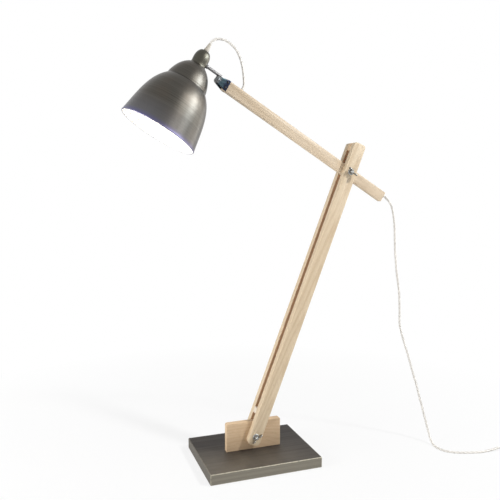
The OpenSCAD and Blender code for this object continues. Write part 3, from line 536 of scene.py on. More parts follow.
mapped = out(
    "GeometryNodeStoreNamedAttribute",
    {"Geometry": sheet.outputs[0], "Name": "UVMap", "Value": sheet.outputs[1]},
    data_type="FLOAT2", domain="CORNER",
)
past_top = out("FunctionNodeCompare", {0: sheet_uv[1], 1: given["Inside From"]}, operation="GREATER_THAN")
marked = out(
    "GeometryNodeStoreNamedAttribute", {"Geometry": mapped, "Name": "inside", "Value": past_top},
    data_type="BOOLEAN", domain="FACE",
)
round_form = out("GeometryNodeSetPosition", {"Geometry": marked, "Position": ring_place})
closed = out("GeometryNodeMergeByDistance", {"Geometry": round_form, "Distance": 0.000004})
smooth = out("GeometryNodeSetShadeSmooth", {"Geometry": closed})
real = out("GeometryNodeRealizeInstances", {"Geometry": smooth})
outer = out("GeometryNodeSetMaterial", {"Geometry": real, "Material": given["Outside"]})
is_inside = add(
    turning, "GeometryNodeInputNamedAttribute", {"Name": "inside"}, data_type="BOOLEAN"
).outputs[0]
both = out(
    "GeometryNodeSetMaterial",
    {"Geometry": outer, "Selection": is_inside, "Material": given["Inside"]},
)
feed(gives, {"Geometry": both})


def turned(name, profile, place, outside, inside=None, inside_from=2.0, segments=48, sharp=35.0):
    """A mesh turned from a profile of radius and height in millimetres, set down in its place."""
    seed = line_mesh(name, [(r / 1000.0, 0.0, h / 1000.0) for r, h in profile])
    mesh = grown(name, turning, seed, {
        "Segments": segments, "Outside": outside, "Inside": inside or outside, "Inside From": inside_from,
    })
    mesh.transform(place)
    mesh.set_sharp_from_angle(angle=radians(sharp))
    return mesh


def turned_piece(name, node, *form, **finish):
    """A turned piece that takes the place of a CAD piece."""
    return stands_for(show(name, turned(name, *form, **finish)), node)


def rotated(axis, angle):
    """A turn about an axis by an angle in degrees."""
    return Matrix.Rotation(radians(angle), 4, axis)


def arc(middle, radius, start, end, steps):
    """Points of an arc in a profile, angles in degrees."""
    angles = [radians(start + (end - start) * i / steps) for i in range(steps + 1)]
    return [(middle[0] + radius * cos(a), middle[1] + radius * sin(a)) for a in angles]


forwards = rotated("X", 90.0)
head_high = 4.0
washer_thick = 1.6
head_arc = arc((0.0, 10.0), 10.0, -90.0, -37.5, 8)
thread = [(2.62 + 0.36 * (i % 2), 49.0 + 0.5 * i) for i in range(33)]
bolt_profile = (
    head_arc + [(8.0, head_high), (3.0, head_high), (3.0, 48.6)] + thread + [(2.1, 66.1), (0.0, 66.1)]
)
washer_profile = [
    (9.0, 0.3), (9.0, 1.3), (8.7, washer_thick), (3.5, washer_thick), (3.25, 1.4), (3.25, 0.2), (3.5, 0.0),
    (8.7, 0.0), (9.0, 0.3),
]
for which, pivot in (("lower", pivots["post"]), ("upper", pivots["arm"])):
    back = Matrix.Translation(pivot + Vector((0.0, post_face + head_high / 1000.0, 0.0))) @ forwards
    front = Matrix.Translation(pivot - Vector((0.0, post_face, 0.0))) @ forwards
    turned_piece(which + "_bolt_turned", which + "_bolt", bolt_profile, back, zinc)
    turned_piece(which + "_washer_turned", which + "_washer", washer_profile, front, zinc)


# Wing nuts
# Cast zinc, tumbled and bright plated: a tapered hub with two rounded ears.
# They are turned by hand to clamp or free a joint.

bright = metal(
    "bright_plate", (0.15, 0.15, 0.148), (0.40, 0.40, 0.39), (240.0, 240.0, 240.0), (0.10, 0.22),
    patches=120.0, relief=0.04,
)
hub_profile = [
    (5.6, 0.0), (6.0, 0.4), (4.95, 7.5), (4.5, 8.0), (3.5, 8.0), (3.12, 7.6), (3.12, 0.4), (3.5, 0.0),
    (5.6, 0.0),
]
ear_thick = 2.4


def mesh_of(form, name):
    """A finished form as a mesh."""
    mesh = bpy.data.meshes.new(name)
    form.to_mesh(mesh)
    form.free()
    return mesh


def ear(side):
    """One ear of a wing nut, shaped in millimetres and standing on the hub."""
    lobe = arc((11.17, 10.67), 5.33, 0.0, 360.0, 32)[:-1]
    outline = lobe + [(3.9, 1.4), (3.9, 7.2)]
    ring = [outline[i] for i in convex_hull_2d(outline)]
    form = bmesh.new()
    face = form.faces.new([form.verts.new((side * x, side * -ear_thick / 2, z)) for x, z in ring])
    pushed = bmesh.ops.extrude_face_region(form, geom=[face])["geom"]
    moved = [v for v in pushed if isinstance(v, bmesh.types.BMVert)]
    bmesh.ops.translate(form, verts=moved, vec=(0.0, side * ear_thick, 0.0))
    long_edges = [e for e in form.edges if abs(e.verts[0].co.y - e.verts[1].co.y) < 0.01 and e.is_manifold]
    bmesh.ops.bevel(form, geom=long_edges, offset=0.75, segments=3, profile=0.5, affect="EDGES")
    bmesh.ops.scale(form, verts=form.verts, vec=(0.001, 0.001, 0.001))
    bmesh.ops.recalc_face_normals(form, faces=form.faces)
    return mesh_of(form, "ear")


def joined(name, meshes, material):
    """Several meshes as one, of one material."""
    form = bmesh.new()
    for mesh in meshes:
        form.from_mesh(mesh)
    whole = mesh_of(form, name)
    whole.materials.append(material)
    return whole


for which, pivot, turn in (("lower", pivots["post"], 36.0), ("upper", pivots["arm"], 135.0)):
    hub = turned(which + "_hub", hub_profile, Matrix.Identity(4), bright)
    nut_mesh = joined(which + "_wing_nut_cast", [ear(1), ear(-1), hub], bright)
    spin = rotated("Z", turn + post_lean)
    lean = rotated("Y", post_lean)
    seat = Matrix.Translation((0.0, -post_face - washer_thick / 1000.0, 0.0))
    nut_mesh.transform(Matrix.Translation(pivot) @ lean @ seat @ forwards @ spin)
    smoothed(nut_mesh, 35.0)
    stands_for(show(which + "_wing_nut_cast", nut_mesh), which + "_wing_nut")


# Arm
# One straight beech beam with eased edges, bored from its tail for the cord.
# It passes through the slot of the post and is clamped there by the upper bolt.

arm_way = pivots["arm"] - pivots["head"]
arm_fall = degrees(atan2(-arm_way.z, arm_way.x))
arm_wood = timber(
    "beech_arm", (0.69, 0.565, 0.415), (0.54, 0.415, 0.275), -arm_fall, (0.1519, 0.0, 0.8381),
    (0.2695, 0.0077, 0.01425), (0.4, 0.05, 0.006), 0.028, 0.0042,
)
eased("arm_beam", 0.0009, arm_wood)


# Bracket
# Two dark blued steel plates, one on each side of the arm's end, with round noses beyond it.
# Four black wood screws hold them, and the head's pivot screw crosses their noses.

blued, skin, place = new_material("blued_steel")
down_arm = arm_way.normalized()
to_pivot = -down_arm.dot(pivots["head"])
along = measured("DOT_PRODUCT", place, tuple(down_arm))
marks = placed_group(brushing, {"Vector": place, "Lines": (260.0, 260.0, 260.0), "Patches": 150.0})
wander = ranged(marks["Patch"], 0.0, 1.0, to_pivot - 0.004, to_pivot + 0.004)
from_pivot = plus(along, wander)
teal = mixed(marks["Streak"], (0.032, 0.055, 0.070), (0.066, 0.104, 0.122))
# The plates are painted pale grey about the pivot as a painted highlight, and dark navy towards the screws.
nose_painted_highlight = mixed(ranged(from_pivot, 0.000, 0.009), (0.150, 0.158, 0.160), teal)
feed(skin, {
    "Base Color": mixed(ranged(from_pivot, 0.014, 0.022), nose_painted_highlight, (0.019, 0.024, 0.043)),
    "Roughness": ranged(marks["Patch"], 0.0, 1.0, 0.22, 0.40),
    "Metallic": 1.0,
    "Normal": raised(marks["Streak"], 0.06),
})
dull_nickel = metal(
    "dull_nickel", (0.12, 0.13, 0.14), (0.25, 0.26, 0.27), (500.0, 500.0, 60.0), (0.32, 0.46)
)
black = metal(
    "blackened_steel", (0.016, 0.016, 0.017), (0.046, 0.045, 0.044), (160.0, 160.0, 160.0),
    (0.30, 0.46), patches=200.0, relief=0.05, metallic=0.8,
)
eased("arm_bracket", 0.0005, blued)
eased("head_pivot_screw", 0.0003, dull_nickel, segments=2)
eased("head_pivot_nut", 0.0004, zinc, segments=2)
eased("friction_washers", 0.0002, zinc, segments=2)

# Screws set on points, each facing its own way: a domed head with a crossed recess on a shank
screwing, given, gives = new_group(
    "set screws", "Geometry",
    {
        "Geometry": "Geometry", "Head Radius": "Float", "Head Height": "Float", "Recess": "Float",
        "Shank Radius": "Float", "Shank Length": "Float", "Material": "Material",
    },
    {"Geometry": "Geometry"},
)


def lifted(geometry, z):
    """A screw's part moved along its axis."""
    return out("GeometryNodeTransform", {"Geometry": geometry, "Translation": vector_of(z=z)})


ball = add(screwing, "GeometryNodeMeshUVSphere", {"Segments": 32, "Rings": 24, "Radius": 1.0}).outputs[0]
head_scale = vector_of(given["Head Radius"], given["Head Radius"], given["Head Height"])
head_ball = out("GeometryNodeTransform", {"Geometry": ball, "Scale": head_scale})
below_wide = times(given["Head Radius"], 3.0)
below_size = vector_of(below_wide, below_wide, below_wide)
below = out("GeometryNodeMeshCube", {"Size": below_size})
cutters = [lifted(below, times(given["Head Radius"], -1.5))]
recess_long = times(given["Head Radius"], 1.1)
recess_high = times(given["Head Height"], 1.2)
for first, second in ((given["Recess"], recess_long), (recess_long, given["Recess"])):
    bar = out("GeometryNodeMeshCube", {"Size": vector_of(first, second, recess_high)})
    cutters.append(lifted(bar, given["Head Height"]))
cut_head = out(
    "GeometryNodeMeshBoolean", {"Mesh 1": head_ball, "Mesh 2": cutters},
    operation="DIFFERENCE", solver="EXACT",
)
shank = out(
    "GeometryNodeMeshCylinder",
    {"Vertices": 24, "Radius": given["Shank Radius"], "Depth": given["Shank Length"]},
)
low_shank = lifted(shank, times(given["Shank Length"], -0.5))
whole_screw = add(screwing, "GeometryNodeJoinGeometry", {0: [cut_head, low_shank]}).outputs[0]
facing = add(
    screwing, "GeometryNodeInputNamedAttribute", {"Name": "facing"}, data_type="FLOAT_VECTOR"
).outputs[0]
aim = out("FunctionNodeAlignRotationToVector", {"Vector": facing}, axis="Z")
set_screws = out(
    "GeometryNodeInstanceOnPoints",
    {"Points": given["Geometry"], "Instance": whole_screw, "Rotation": aim},
)
all_screws = out("GeometryNodeRealizeInstances", {"Geometry": set_screws})
blackened = {"Geometry": all_screws, "Material": given["Material"]}
feed(gives, {"Geometry": out("GeometryNodeSetMaterial", blackened)})

head_frame = Matrix.Translation(pivots["head"]) @ rotated("Y", arm_fall)
plate_face = 0.0097
screw_spots = []
screw_ways = []
for side in (-1.0, 1.0):
    for across in (-0.007, 0.007):
        screw_spots.append(head_frame @ Vector((0.024, side * plate_face, across)))
        screw_ways.append((0.0, side, 0.0))
screw_seed = bpy.data.meshes.new("bracket_screw_spots")
screw_seed.from_pydata(screw_spots, [], [])
way_values = screw_seed.attributes.new("facing", "FLOAT_VECTOR", "POINT")
for i, way in enumerate(screw_ways):
    way_values.data[i].vector = way
screw_mesh = grown("bracket_screws_set", screwing, screw_seed, {
    "Head Radius": 0.003, "Head Height": 0.0018, "Recess": 0.0007, "Shank Radius": 0.0014,
    "Shank Length": 0.0075, "Material": black,
})
smoothed(screw_mesh, 35.0)
stands_for(show("bracket_screws_set", screw_mesh), "bracket_screws")


# Knuckle and support rod
# A blackened steel eye turns in the bracket and carries a chromed rod in a saddle on its neck.
# The rod's free end is domed; a chromed collar meets the cap and a nut holds it from inside.

chrome = metal(
    "chrome", (0.16, 0.158, 0.162), (0.29, 0.288, 0.292), (300.0, 40.0, 300.0), (0.06, 0.14),
    relief=0.015,
)
eased("knuckle", 0.0006, black)
rod_r = 4.0
rod_end = arc((0.0, 3.5), rod_r, 0.0, 90.0, 12)
rod_profile = [(0.0, -48.58), (3.6, -48.58), (rod_r, -48.18), (rod_r, -20.0)] + rod_end
rod_place = head_frame @ Matrix.Translation((0.0, 0.0, 0.012)) @ rotated("Y", 90.0)
turned_piece("support_rod_turned", "support_rod", rod_profile, rod_place, chrome)
eased("rod_collar", 0.0004, chrome)
eased("rod_nut", 0.0004, zinc, segments=2)


# Shade
# Steel sheet spun on a lathe in one piece: a bell, a crease and a dome, its rim rolled over a wire.
# Outside it is browned and brushed while spinning, under clear lacquer, and tinted violet towards the rim and over
# its roll;
# its dark crease line is painted shade and a bluish band near the rim a painted reflection. Inside it is white
# enamel.

shade_frame = head_frame @ Matrix.Translation((-0.060, 0.0, -0.191))
shade_turn = radians(-arm_fall)
shade_zero = -(Matrix.Rotation(shade_turn, 3, "Y") @ shade_frame.translation)
rim_r = 99.5
wire_r = 1.6
wall = 1.2
hole_r = 16.3
crease = (54.5, 135.0)
shoulder = (21.0, 191.0)


def cubic(a, b, c, d, steps):
    """Points of a cubic curve in a profile."""
    points = []
    for i in range(steps + 1):
        t = i / steps
        w = ((1 - t) ** 3, 3 * (1 - t) ** 2 * t, 3 * (1 - t) * t * t, t ** 3)
        points.append(tuple(w[0] * a[k] + w[1] * b[k] + w[2] * c[k] + w[3] * d[k] for k in (0, 1)))
    return points


def inside_of(points, wall):
    """A profile moved inwards by the thickness of the sheet."""
    moved = []
    for i, point in enumerate(points):
        ahead = points[min(i + 1, len(points) - 1)]
        behind = points[max(i - 1, 0)]
        along = Vector((ahead[0] - behind[0], ahead[1] - behind[1])).normalized()
        moved.append((point[0] - wall * along.y, point[1] + wall * along.x))
    return moved


def spun_steel(name, dark, light, brown):
    """Browned sheet with lines round the shade's axis, which come from height less radius."""
    material, skin, place = new_material(name)
    values = {"Vector": place, "Rotation": (0.0, shade_turn, 0.0), "Location": tuple(shade_zero)}
    part = split(out("ShaderNodeMapping", values))
    flat = vector_of(part[0], part[1])
    radius = measured("LENGTH", flat)
    wall_place = vector_of(part[0], part[1], calc("SUBTRACT", part[2], radius))
    marks = placed_group(brushing, {"Vector": wall_place, "Lines": (9.0, 9.0, 900.0), "Patches": 14.0})
    steel = mixed(marks["Streak"], dark, light)
    tinted = mixed(ranged(marks["Patch"], 0.25, 0.95, 0.0, 0.6), steel, brown)
    # Near the rim on one side the steel is painted a lighter bluish grey as a painted reflection.
    to_rim = ranged(part[2], 0.0, 0.060, 1.0, 0.0)
    rim_painted_reflection = times(to_rim, ranged(part[0], -0.05, 0.03, 1.0, 0.2))
    with_rim_reflection = mixed(rim_painted_reflection, tinted, (0.114, 0.114, 0.124))
    # The band nearest the rim and the rolled edge itself are tinted violet.
    violet = scaled(with_rim_reflection, (0.97, 0.94, 1.62))
    colour = mixed(ranged(part[2], 0.002, 0.012, 0.9, 0.0), with_rim_reflection, violet)
    # A thin dark line at the crease is painted shade.
    crease_high = crease[1] / 1000.0 + 0.0006
    from_crease = calc("ABSOLUTE", calc("SUBTRACT", part[2], crease_high))
    crease_painted_shade = ranged(from_crease, 0.0003, 0.0013, 0.75, 0.0)
    with_crease_shade = mixed(crease_painted_shade, colour, (0.016, 0.014, 0.012))
    on_roll = ranged(part[2], 0.0010, 0.0026, 0.8, 0.0)
    tangent = add(skin.id_data, "ShaderNodeTangent", direction_type="UV_MAP", uv_map="UVMap").outputs[0]
    feed(skin, {
        "Base Color": mixed(on_roll, with_crease_shade, (0.145, 0.14, 0.24)),
        "Roughness": ranged(marks["Streak"], 0.0, 1.0, 0.42, 0.34),
        "Metallic": 1.0,
        "Anisotropic": 0.25,
        "Anisotropic Rotation": 0.25,
        "Tangent": tangent,
        "Coat Weight": 0.05,
        "Coat Roughness": 0.25,
        "Normal": raised(marks["Streak"], 0.10),
    })
    return material


shade_steel = spun_steel(
    "browned_steel_shade", (0.056, 0.052, 0.045), (0.086, 0.080, 0.070), (0.082, 0.069, 0.056)
)
enamel, skin, place = new_material("white_enamel")
peel = noise(place, 260.0, 2.0)
milkiness = ranged(noise(place, 18.0, 3.0), 0.3, 0.7)
feed(skin, {
    "Base Color": mixed(milkiness, (0.83, 0.82, 0.79), (0.88, 0.87, 0.84)),
    "Roughness": ranged(peel, 0.3, 0.7, 0.52, 0.64),
    "Normal": raised(peel, 0.04),
})

bell = cubic((rim_r, 0.0), (90.2, 50.0), (87.5, 102.0), crease, 36)
dome = cubic(crease, (49.5, 154.0), (44.0, 176.5), shoulder, 22)
flare = cubic((54.3, 135.5), (53.4, 136.3), (52.95, 138.2), (52.65, 141.7), 6)
wire_middle = (rim_r - wire_r, wire_r / 2)
wire_out = arc(wire_middle, wire_r, 235.0, 385.0, 11)
wire_in = arc(wire_middle, wire_r, 140.0, 235.0, 7)
dome_out = flare + [p for p in dome if p[1] > 142.0]
shade_out = wire_out + [p for p in bell if p[1] > 3.0] + dome_out + [(hole_r, shoulder[1])]
bell_in = [p for p in inside_of(bell, wall) if 3.0 < p[1] < 133.0]
dome_in = [p for p in inside_of(dome, wall) if 136.5 < p[1] < 188.6]
top_in = [(hole_r, shoulder[1] - wall), (19.6, shoulder[1] - wall)]
shade_in = top_in + dome_in[::-1] + [(53.3, 134.3)] + bell_in[::-1] + wire_in
shade_profile = shade_out + shade_in
turned_piece(
    "shade_spun", "shade_shell", shade_profile, shade_frame, shade_steel, enamel,
    (len(shade_out) - 0.5) / (len(shade_profile) - 1), segments=160, sharp=50.0,
)


# Cap, lampholder and cord sleeve
# The cap is spun from the same steel and covers the lampholder, which a ring clamps in the shade.
# A brass tube holds the cap down and a pale tapered sleeve leads the cord out of its top.

cap_steel = spun_steel(
    "browned_steel_cap", (0.056, 0.054, 0.044), (0.084, 0.080, 0.066), (0.074, 0.067, 0.053)
)
cap_low = cubic((19.7, shoulder[1]), (18.0, 199.0), (21.0, 205.0), (19.4, 215.0), 16)
cap_high = cubic((19.4, 215.0), (17.8, 225.0), (13.0, 232.0), (6.5, 232.0), 16)
cap_curve = cap_low + cap_high[1:]
cap_out = cap_curve + [(5.1, 232.0)]
cap_in = [(5.1, 230.5)] + [p for p in inside_of(cap_curve, 1.5) if p[1] < 230.2][::-1]
cap_profile = cap_out + cap_in + [cap_out[0]]
turned_piece("cap_spun", "shade_cap", cap_profile, shade_frame, cap_steel, segments=96)

# Moulded plastic: a very fine grain and slow unevenness of tone
moulded, given, gives = new_group(
    "moulded", "Shader", {"Vector": "Vector", "Grain": "Float"}, {"Tone": "Float", "Height": "Float"}
)
feed(gives, {
    "Tone": ranged(noise(given["Vector"], 45.0, 3.0), 0.3, 0.7),
    "Height": noise(given["Vector"], given["Grain"]),
})


def plastic(name, first, second, rough, grain=900.0, coat=0.0):
    """A moulded plastic between two tones and two degrees of roughness."""
    material, skin, place = new_material(name)
    surface = placed_group(moulded, {"Vector": place, "Grain": grain})
    feed(skin, {
        "Base Color": mixed(surface["Tone"], first, second),
        "Roughness": ranged(surface["Tone"], 0.0, 1.0, rough[0], rough[1]),
        "Coat Weight": coat,
        "Normal": raised(surface["Height"], 0.08, 0.0002),
    })
    return material


holder_plastic = plastic("holder_plastic", (0.66, 0.64, 0.58), (0.74, 0.72, 0.66), (0.34, 0.46))
# The pale sleeve's plastic is painted darker than its own cream colour as painted shade, against the strong light
# on it.
sleeve_plastic_painted_shade = plastic(
    "sleeve_plastic_painted_shade", (0.40, 0.365, 0.31), (0.50, 0.46, 0.39), (0.46, 0.56), grain=500.0
)
brass = metal("brass", (0.55, 0.40, 0.16), (0.74, 0.57, 0.26), (60.0, 60.0, 700.0), (0.22, 0.34))
eased("lampholder", 0.0005, holder_plastic)
eased("holder_ring", 0.0005, holder_plastic)
dress(brass, "threaded_tube")
gland_foot = [(0.0, 232.0), (6.2, 232.0), (6.5, 232.4), (6.5, 238.4), (6.2, 238.9), (5.7, 239.1)]
gland_taper = [(5.45 - 1.6 * i / 8, 239.8 + 13.4 * i / 8) for i in range(9)]
gland_profile = gland_foot + gland_taper + [(3.7, 253.8), (3.3, 254.0), (0.0, 254.0)]
turned_piece("gland_turned", "cord_gland", gland_profile, shade_frame, sleeve_plastic_painted_shade)


# Bulb
# An opal glass globe on a nickel plated screw cap, alight: the glass glows a warm white.
# Its cap screws up into the lampholder.

nickel = metal("nickel", (0.50, 0.48, 0.44), (0.68, 0.66, 0.61), (90.0, 90.0, 600.0), (0.18, 0.30))
screw_ridges = [(12.55 + 0.6 * (i % 2), 154.5 + 1.75 * i) for i in range(10)]
bulb_cap_profile = (
    [(0.0, 153.0), (12.5, 153.0)] + screw_ridges
    + [(12.6, 171.0), (6.2, 175.0), (5.0, 175.2), (5.0, 176.7), (4.4, 177.0), (0.0, 177.0)]
)
turned_piece("bulb_cap_turned", "bulb_cap", bulb_cap_profile, shade_frame, nickel)

opal, skin, place = new_material("opal_glass")
milk = noise(place, 30.0, 3.0)
feed(skin, {
    "Base Color": (0.9, 0.88, 0.83),
    "Roughness": ranged(milk, 0.3, 0.7, 0.12, 0.22),
    "Emission Color": mixed(ranged(milk, 0.3, 0.7), (1.0, 0.90, 0.76), (1.0, 0.94, 0.84)),
    "Emission Strength": 9.0,
})
globe = arc((0.0, 99.0), 30.0, -90.0, 20.0, 28)
neck = cubic(globe[-1], (globe[-1][0] - 3.42, globe[-1][1] + 9.4), (12.6, 131.0), (12.6, 153.0), 16)
bulb_profile = globe + neck[1:] + [(0.0, 153.0)]
turned_piece("bulb_blown", "bulb_glass", bulb_profile, shade_frame, opal, sharp=60.0)


# Flex
# Two insulated cores twisted together under a clear skin, one length from the cap to the plug.
# It loops from the cap into the arm, leaves at the arm's tail, where it is a little thicker, hangs
# down and runs over the floor.

flex_across = 0.0056
flex_skin, skin, place = new_material("clear_flex")
milky = noise(place, 160.0, 3.0, 0.6)
# The crowns of the cores are painted lighter and the grooves between them darker, as painted light and shade.
strand = add(place.id_data, "ShaderNodeAttribute", attribute_name="strand").outputs["Fac"]
twist_painted_light = ranged(strand, 0.25, 0.95, 0.0, 0.8)
twist_light_and_milkiness = plus(twist_painted_light, ranged(milky, 0.3, 0.7, -0.1, 0.2))
feed(skin, {
    "Base Color": mixed(twist_light_and_milkiness, (0.68, 0.65, 0.605), (0.79, 0.76, 0.71)),
    "Roughness": ranged(noise(place, 900.0, 1.0), 0.3, 0.7, 0.40, 0.52),
    "Coat Weight": 0.1,
    "Coat Roughness": 0.3,
    "Normal": raised(milky, 0.1),
})
dress(flex_skin, "arm_cord")

# A twisted pair swept along a chain of points: the section is two circles run together
twisting, given, gives = new_group(
    "twisted pair", "Geometry",
    {
        "Geometry": "Geometry", "Core": "Float", "Spacing": "Float", "Pitch": "Float", "Swell": "Float",
        "Material": "Material",
    },
    {"Geometry": "Geometry"},
)
run = out("GeometryNodeMeshToCurve", {"Mesh": given["Geometry"]})
how_far = add(twisting, "GeometryNodeSplineParameter").outputs["Length"]
twist = times(calc("DIVIDE", how_far, given["Pitch"]), 2.0 * pi)
tilted = out("GeometryNodeSetCurveTilt", {"Curve": run, "Tilt": twist})
near_start = ranged(how_far, 0.016, 0.026, 1.0, 0.0)
thicker = plus(times(near_start, given["Swell"]), 1.0)
circle = add(twisting, "GeometryNodeCurvePrimitiveCircle", {"Resolution": 20, "Radius": 1.0}).outputs[0]
around = add(twisting, "GeometryNodeInputPosition").outputs[0]
unit = split(around)
outwards = calc("ABSOLUTE", unit[0])
side_off = times(unit[1], given["Spacing"])
core_square = times(given["Core"], given["Core"])
off_square = times(side_off, side_off)
core_part = calc("SQRT", calc("SUBTRACT", core_square, off_square))
lobes = plus(times(outwards, given["Spacing"]), core_part)
lobe_place = out("ShaderNodeVectorMath", {0: around, "Scale": lobes}, operation="SCALE")
stranded = out(
    "GeometryNodeStoreNamedAttribute", {"Geometry": circle, "Name": "strand", "Value": outwards},
    data_type="FLOAT", domain="POINT",
)
section = out("GeometryNodeSetPosition", {"Geometry": stranded, "Position": lobe_place})
swept = out(
    "GeometryNodeCurveToMesh",
    {"Curve": tilted, "Profile Curve": section, "Scale": thicker, "Fill Caps": True},
)
smooth_pair = out("GeometryNodeSetShadeSmooth", {"Geometry": swept})
real_pair = out("GeometryNodeRealizeInstances", {"Geometry": smooth_pair})
skinned = {"Geometry": real_pair, "Material": given["Material"]}
feed(gives, {"Geometry": out("GeometryNodeSetMaterial", skinned)})


def smooth_route(points, step):
    """A fine chain of points, evenly spaced, on a smooth curve through a route in millimetres."""
    knots = [Vector(p) / 1000.0 for p in points]
    knots = [2 * knots[0] - knots[1]] + knots + [2 * knots[-1] - knots[-2]]
    fine = []
    for i in range(1, len(knots) - 2):
        before, start, end, after = knots[i - 1 : i + 3]
        for k in range(12):
            t = k / 12
            fine.append(0.5 * (
                2 * start + (end - before) * t + (2 * before - 5 * start + 4 * end - after) * t * t
                + (3 * start - before - 3 * end + after) * t ** 3
            ))
    fine.append(knots[-2])
    for point in fine:
        point.z = max(point.z, flex_across / 2)
    ends = [0.0]
    for a, b in zip(fine, fine[1:]):
        ends.append(ends[-1] + (b - a).length)
    count = max(2, round(ends[-1] / step))
    even = []
    at = 0
    for k in range(count + 1):
        want = ends[-1] * k / count
        while at < len(fine) - 2 and ends[at + 1] < want:
            at += 1
        even.append(fine[at].lerp(fine[at + 1], (want - ends[at]) / (ends[at + 1] - ends[at])))
    return even, ends[-1]


def twisted_cord(name, route, swell=0.0):
    """A cord along a route, thicker at its start by a share, with its path and its length."""
    path, length = smooth_route(route, 0.0022)
    mesh = grown(name, twisting, line_mesh(name, path), {
        "Core": 0.00275, "Spacing": 0.00045, "Pitch": 0.026, "Swell": swell, "Material": flex_skin,
    })
    return show(name, mesh), path, length


head_route = [(x, 0, z) for x, z in (
    (-111.46, 1073.36), (-109.37, 1076.77), (-103, 1083), (-93, 1087), (-82, 1087), (-72, 1085),
    (-62, 1080), (-54, 1074), (-46, 1067), (-40, 1058), (-35, 1048), (-31, 1037), (-28, 1025),
    (-26, 1013), (-25, 1002), (-24, 990), (-24, 980), (-27.22, 971.60), (-30.36, 966.49),
)]
upper_route = [(x, 0, z) for x, z in (
    (385.4, 703.4), (393.1, 698.7), (403, 689), (411, 678), (417, 664), (421, 648), (424, 631),
    (426, 613), (427, 595), (428, 577), (429, 559), (430, 541), (432, 523), (434, 505), (436, 487),
    (439, 469), (442, 451), (445, 434), (447, 417), (448, 400),
)]
lower_route = [
    (448, 0, 400), (449, 0, 383), (450, 0, 366), (450, 0, 349), (450, -1, 332), (453, -3, 315),
    (457, -5, 298), (462, -7, 281), (466, -10, 264), (471, -13, 247), (475, -16, 230), (479, -19, 213),
    (483, -22, 196), (487, -25, 179), (491, -29, 162), (494, -33, 145), (497, -37, 128), (500, -41, 111),
    (503, -46, 94), (505, -51, 77), (507, -57, 60), (508, -64, 44), (508, -72, 29), (507, -82, 16),
    (505, -94, 7), (503, -108, 3), (503, -123, 2.8), (507, -138, 2.8), (516, -151, 2.8), (529, -161, 2.8),
    (544, -168, 2.8), (560, -174, 2.8), (577, -179, 2.8), (594, -183, 2.8), (611, -186, 4),
    (628, -188, 6), (643, -190, 9), (653, -190, 10.3), (662, -190, 10.3),
]

# The coil winds inwards in its upper layer, steps down over half a turn and winds outwards again
coil_x = 779.2
coil_y = -152.8
coil_r = 37.2
turn_pitch = 6.6
upper_level = 10.3
lower_level = 3.9
wound_in = 675
stepped_down = wound_in + 180
inner_r = coil_r - turn_pitch * wound_in / 360
coil_route = [(768, -190, upper_level), (773.6, -190, upper_level)]
for turn in range(0, stepped_down + wound_in + 1, 15):
    if turn < wound_in:
        reach = coil_r - turn_pitch * turn / 360
        level = upper_level
    elif turn < stepped_down:
        half_turn = radians(turn - wound_in)
        reach = inner_r - 1.2 * sin(half_turn)
        level = lower_level + (upper_level - lower_level) / 2 * (1 + cos(half_turn))
    else:
        reach = inner_r + turn_pitch * (turn - stepped_down) / 360
        level = lower_level
    angle = radians(turn)
    coil_route.append((coil_x + reach * sin(angle), coil_y - reach * cos(angle), level))
coil_route += [(816.4, -140.8, 4.2), (816.4, -128.8, 5.7), (816.4, -114.4, 7.0), (816.4, -108.8, 7.0)]

head_flex, head_path, head_length = twisted_cord("head_flex", head_route)
upper_flex, upper_path, upper_length = twisted_cord("upper_flex", upper_route, 0.6)
lower_flex, lower_path, lower_length = twisted_cord("lower_flex", lower_route)
coil_flex, coil_path, coil_length = twisted_cord("coil_flex", coil_route)
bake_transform(head_flex)
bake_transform(upper_flex)
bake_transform(lower_flex)
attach(coil_flex, "base")
for piece, node in (
    (head_flex, "head_cord"),
    (upper_flex, "lead_upper"),
    (lower_flex, "lead_lower"),
    (coil_flex, "lead_coil"),
):
    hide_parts(node)


# Switch
# A small two-part moulded case on the lead, screwed together from below, with a rocker on top.
# Ribbed sleeves at its ends keep the lead from kinking.

white_plastic = plastic("white_plastic", (0.74, 0.73, 0.69), (0.80, 0.79, 0.75), (0.30, 0.40))
rocker_plastic = plastic("rocker_plastic", (0.66, 0.65, 0.60), (0.72, 0.71, 0.66), (0.22, 0.30), coat=0.2)
switch_low = eased("switch_base", 0.0010, white_plastic)
switch_high = eased("switch_cover", 0.0012, white_plastic)
rocker = eased("switch_rocker", 0.0004, rocker_plastic)
switch_fixings = eased("switch_screws", 0.0002, zinc, segments=2)


def ribbed(length, wide, narrow, ribs):
    """Profile of a tapered sleeve with grooves between its ribs."""
    points = [(0.0, 0.0), (wide / 2, 0.0)]
    for i in range(ribs):
        low = length * (0.22 + 0.68 * i / ribs)
        high = low + 0.34 * length / ribs
        for at, groove in ((low, 0.0), (low + 0.2, 0.7), (high - 0.2, 0.7), (high, 0.0)):
            points.append((wide / 2 + (narrow - wide) / 2 * at / length - groove, at))
    return points + [(narrow / 2, length - 0.4), (narrow / 2 - 0.4, length), (0.0, length)]


switch_half = 0.031
sleeve_profile = ribbed(22.0, 12.0, 7.6, 4)
sleeve_meshes = []
for side in (-1, 1):
    end = (pivots["rocker"].x + side * switch_half, pivots["rocker"].y, upper_level / 1000.0)
    sleeve_place = Matrix.Translation(end) @ rotated("Y", 90.0 * side)
    sleeve_meshes.append(turned("switch_sleeve", sleeve_profile, sleeve_place, white_plastic, sharp=30.0))
sleeves = show("switch_sleeves_ribbed", joined("switch_sleeves_ribbed", sleeve_meshes, white_plastic))
stands_for(sleeves, "switch_sleeves")


# Coil tie and plug
# The spare lead is wound in two layers and held by a black woven strap.
# A flat two-pin plug is moulded on its end; its pins are plated and round.

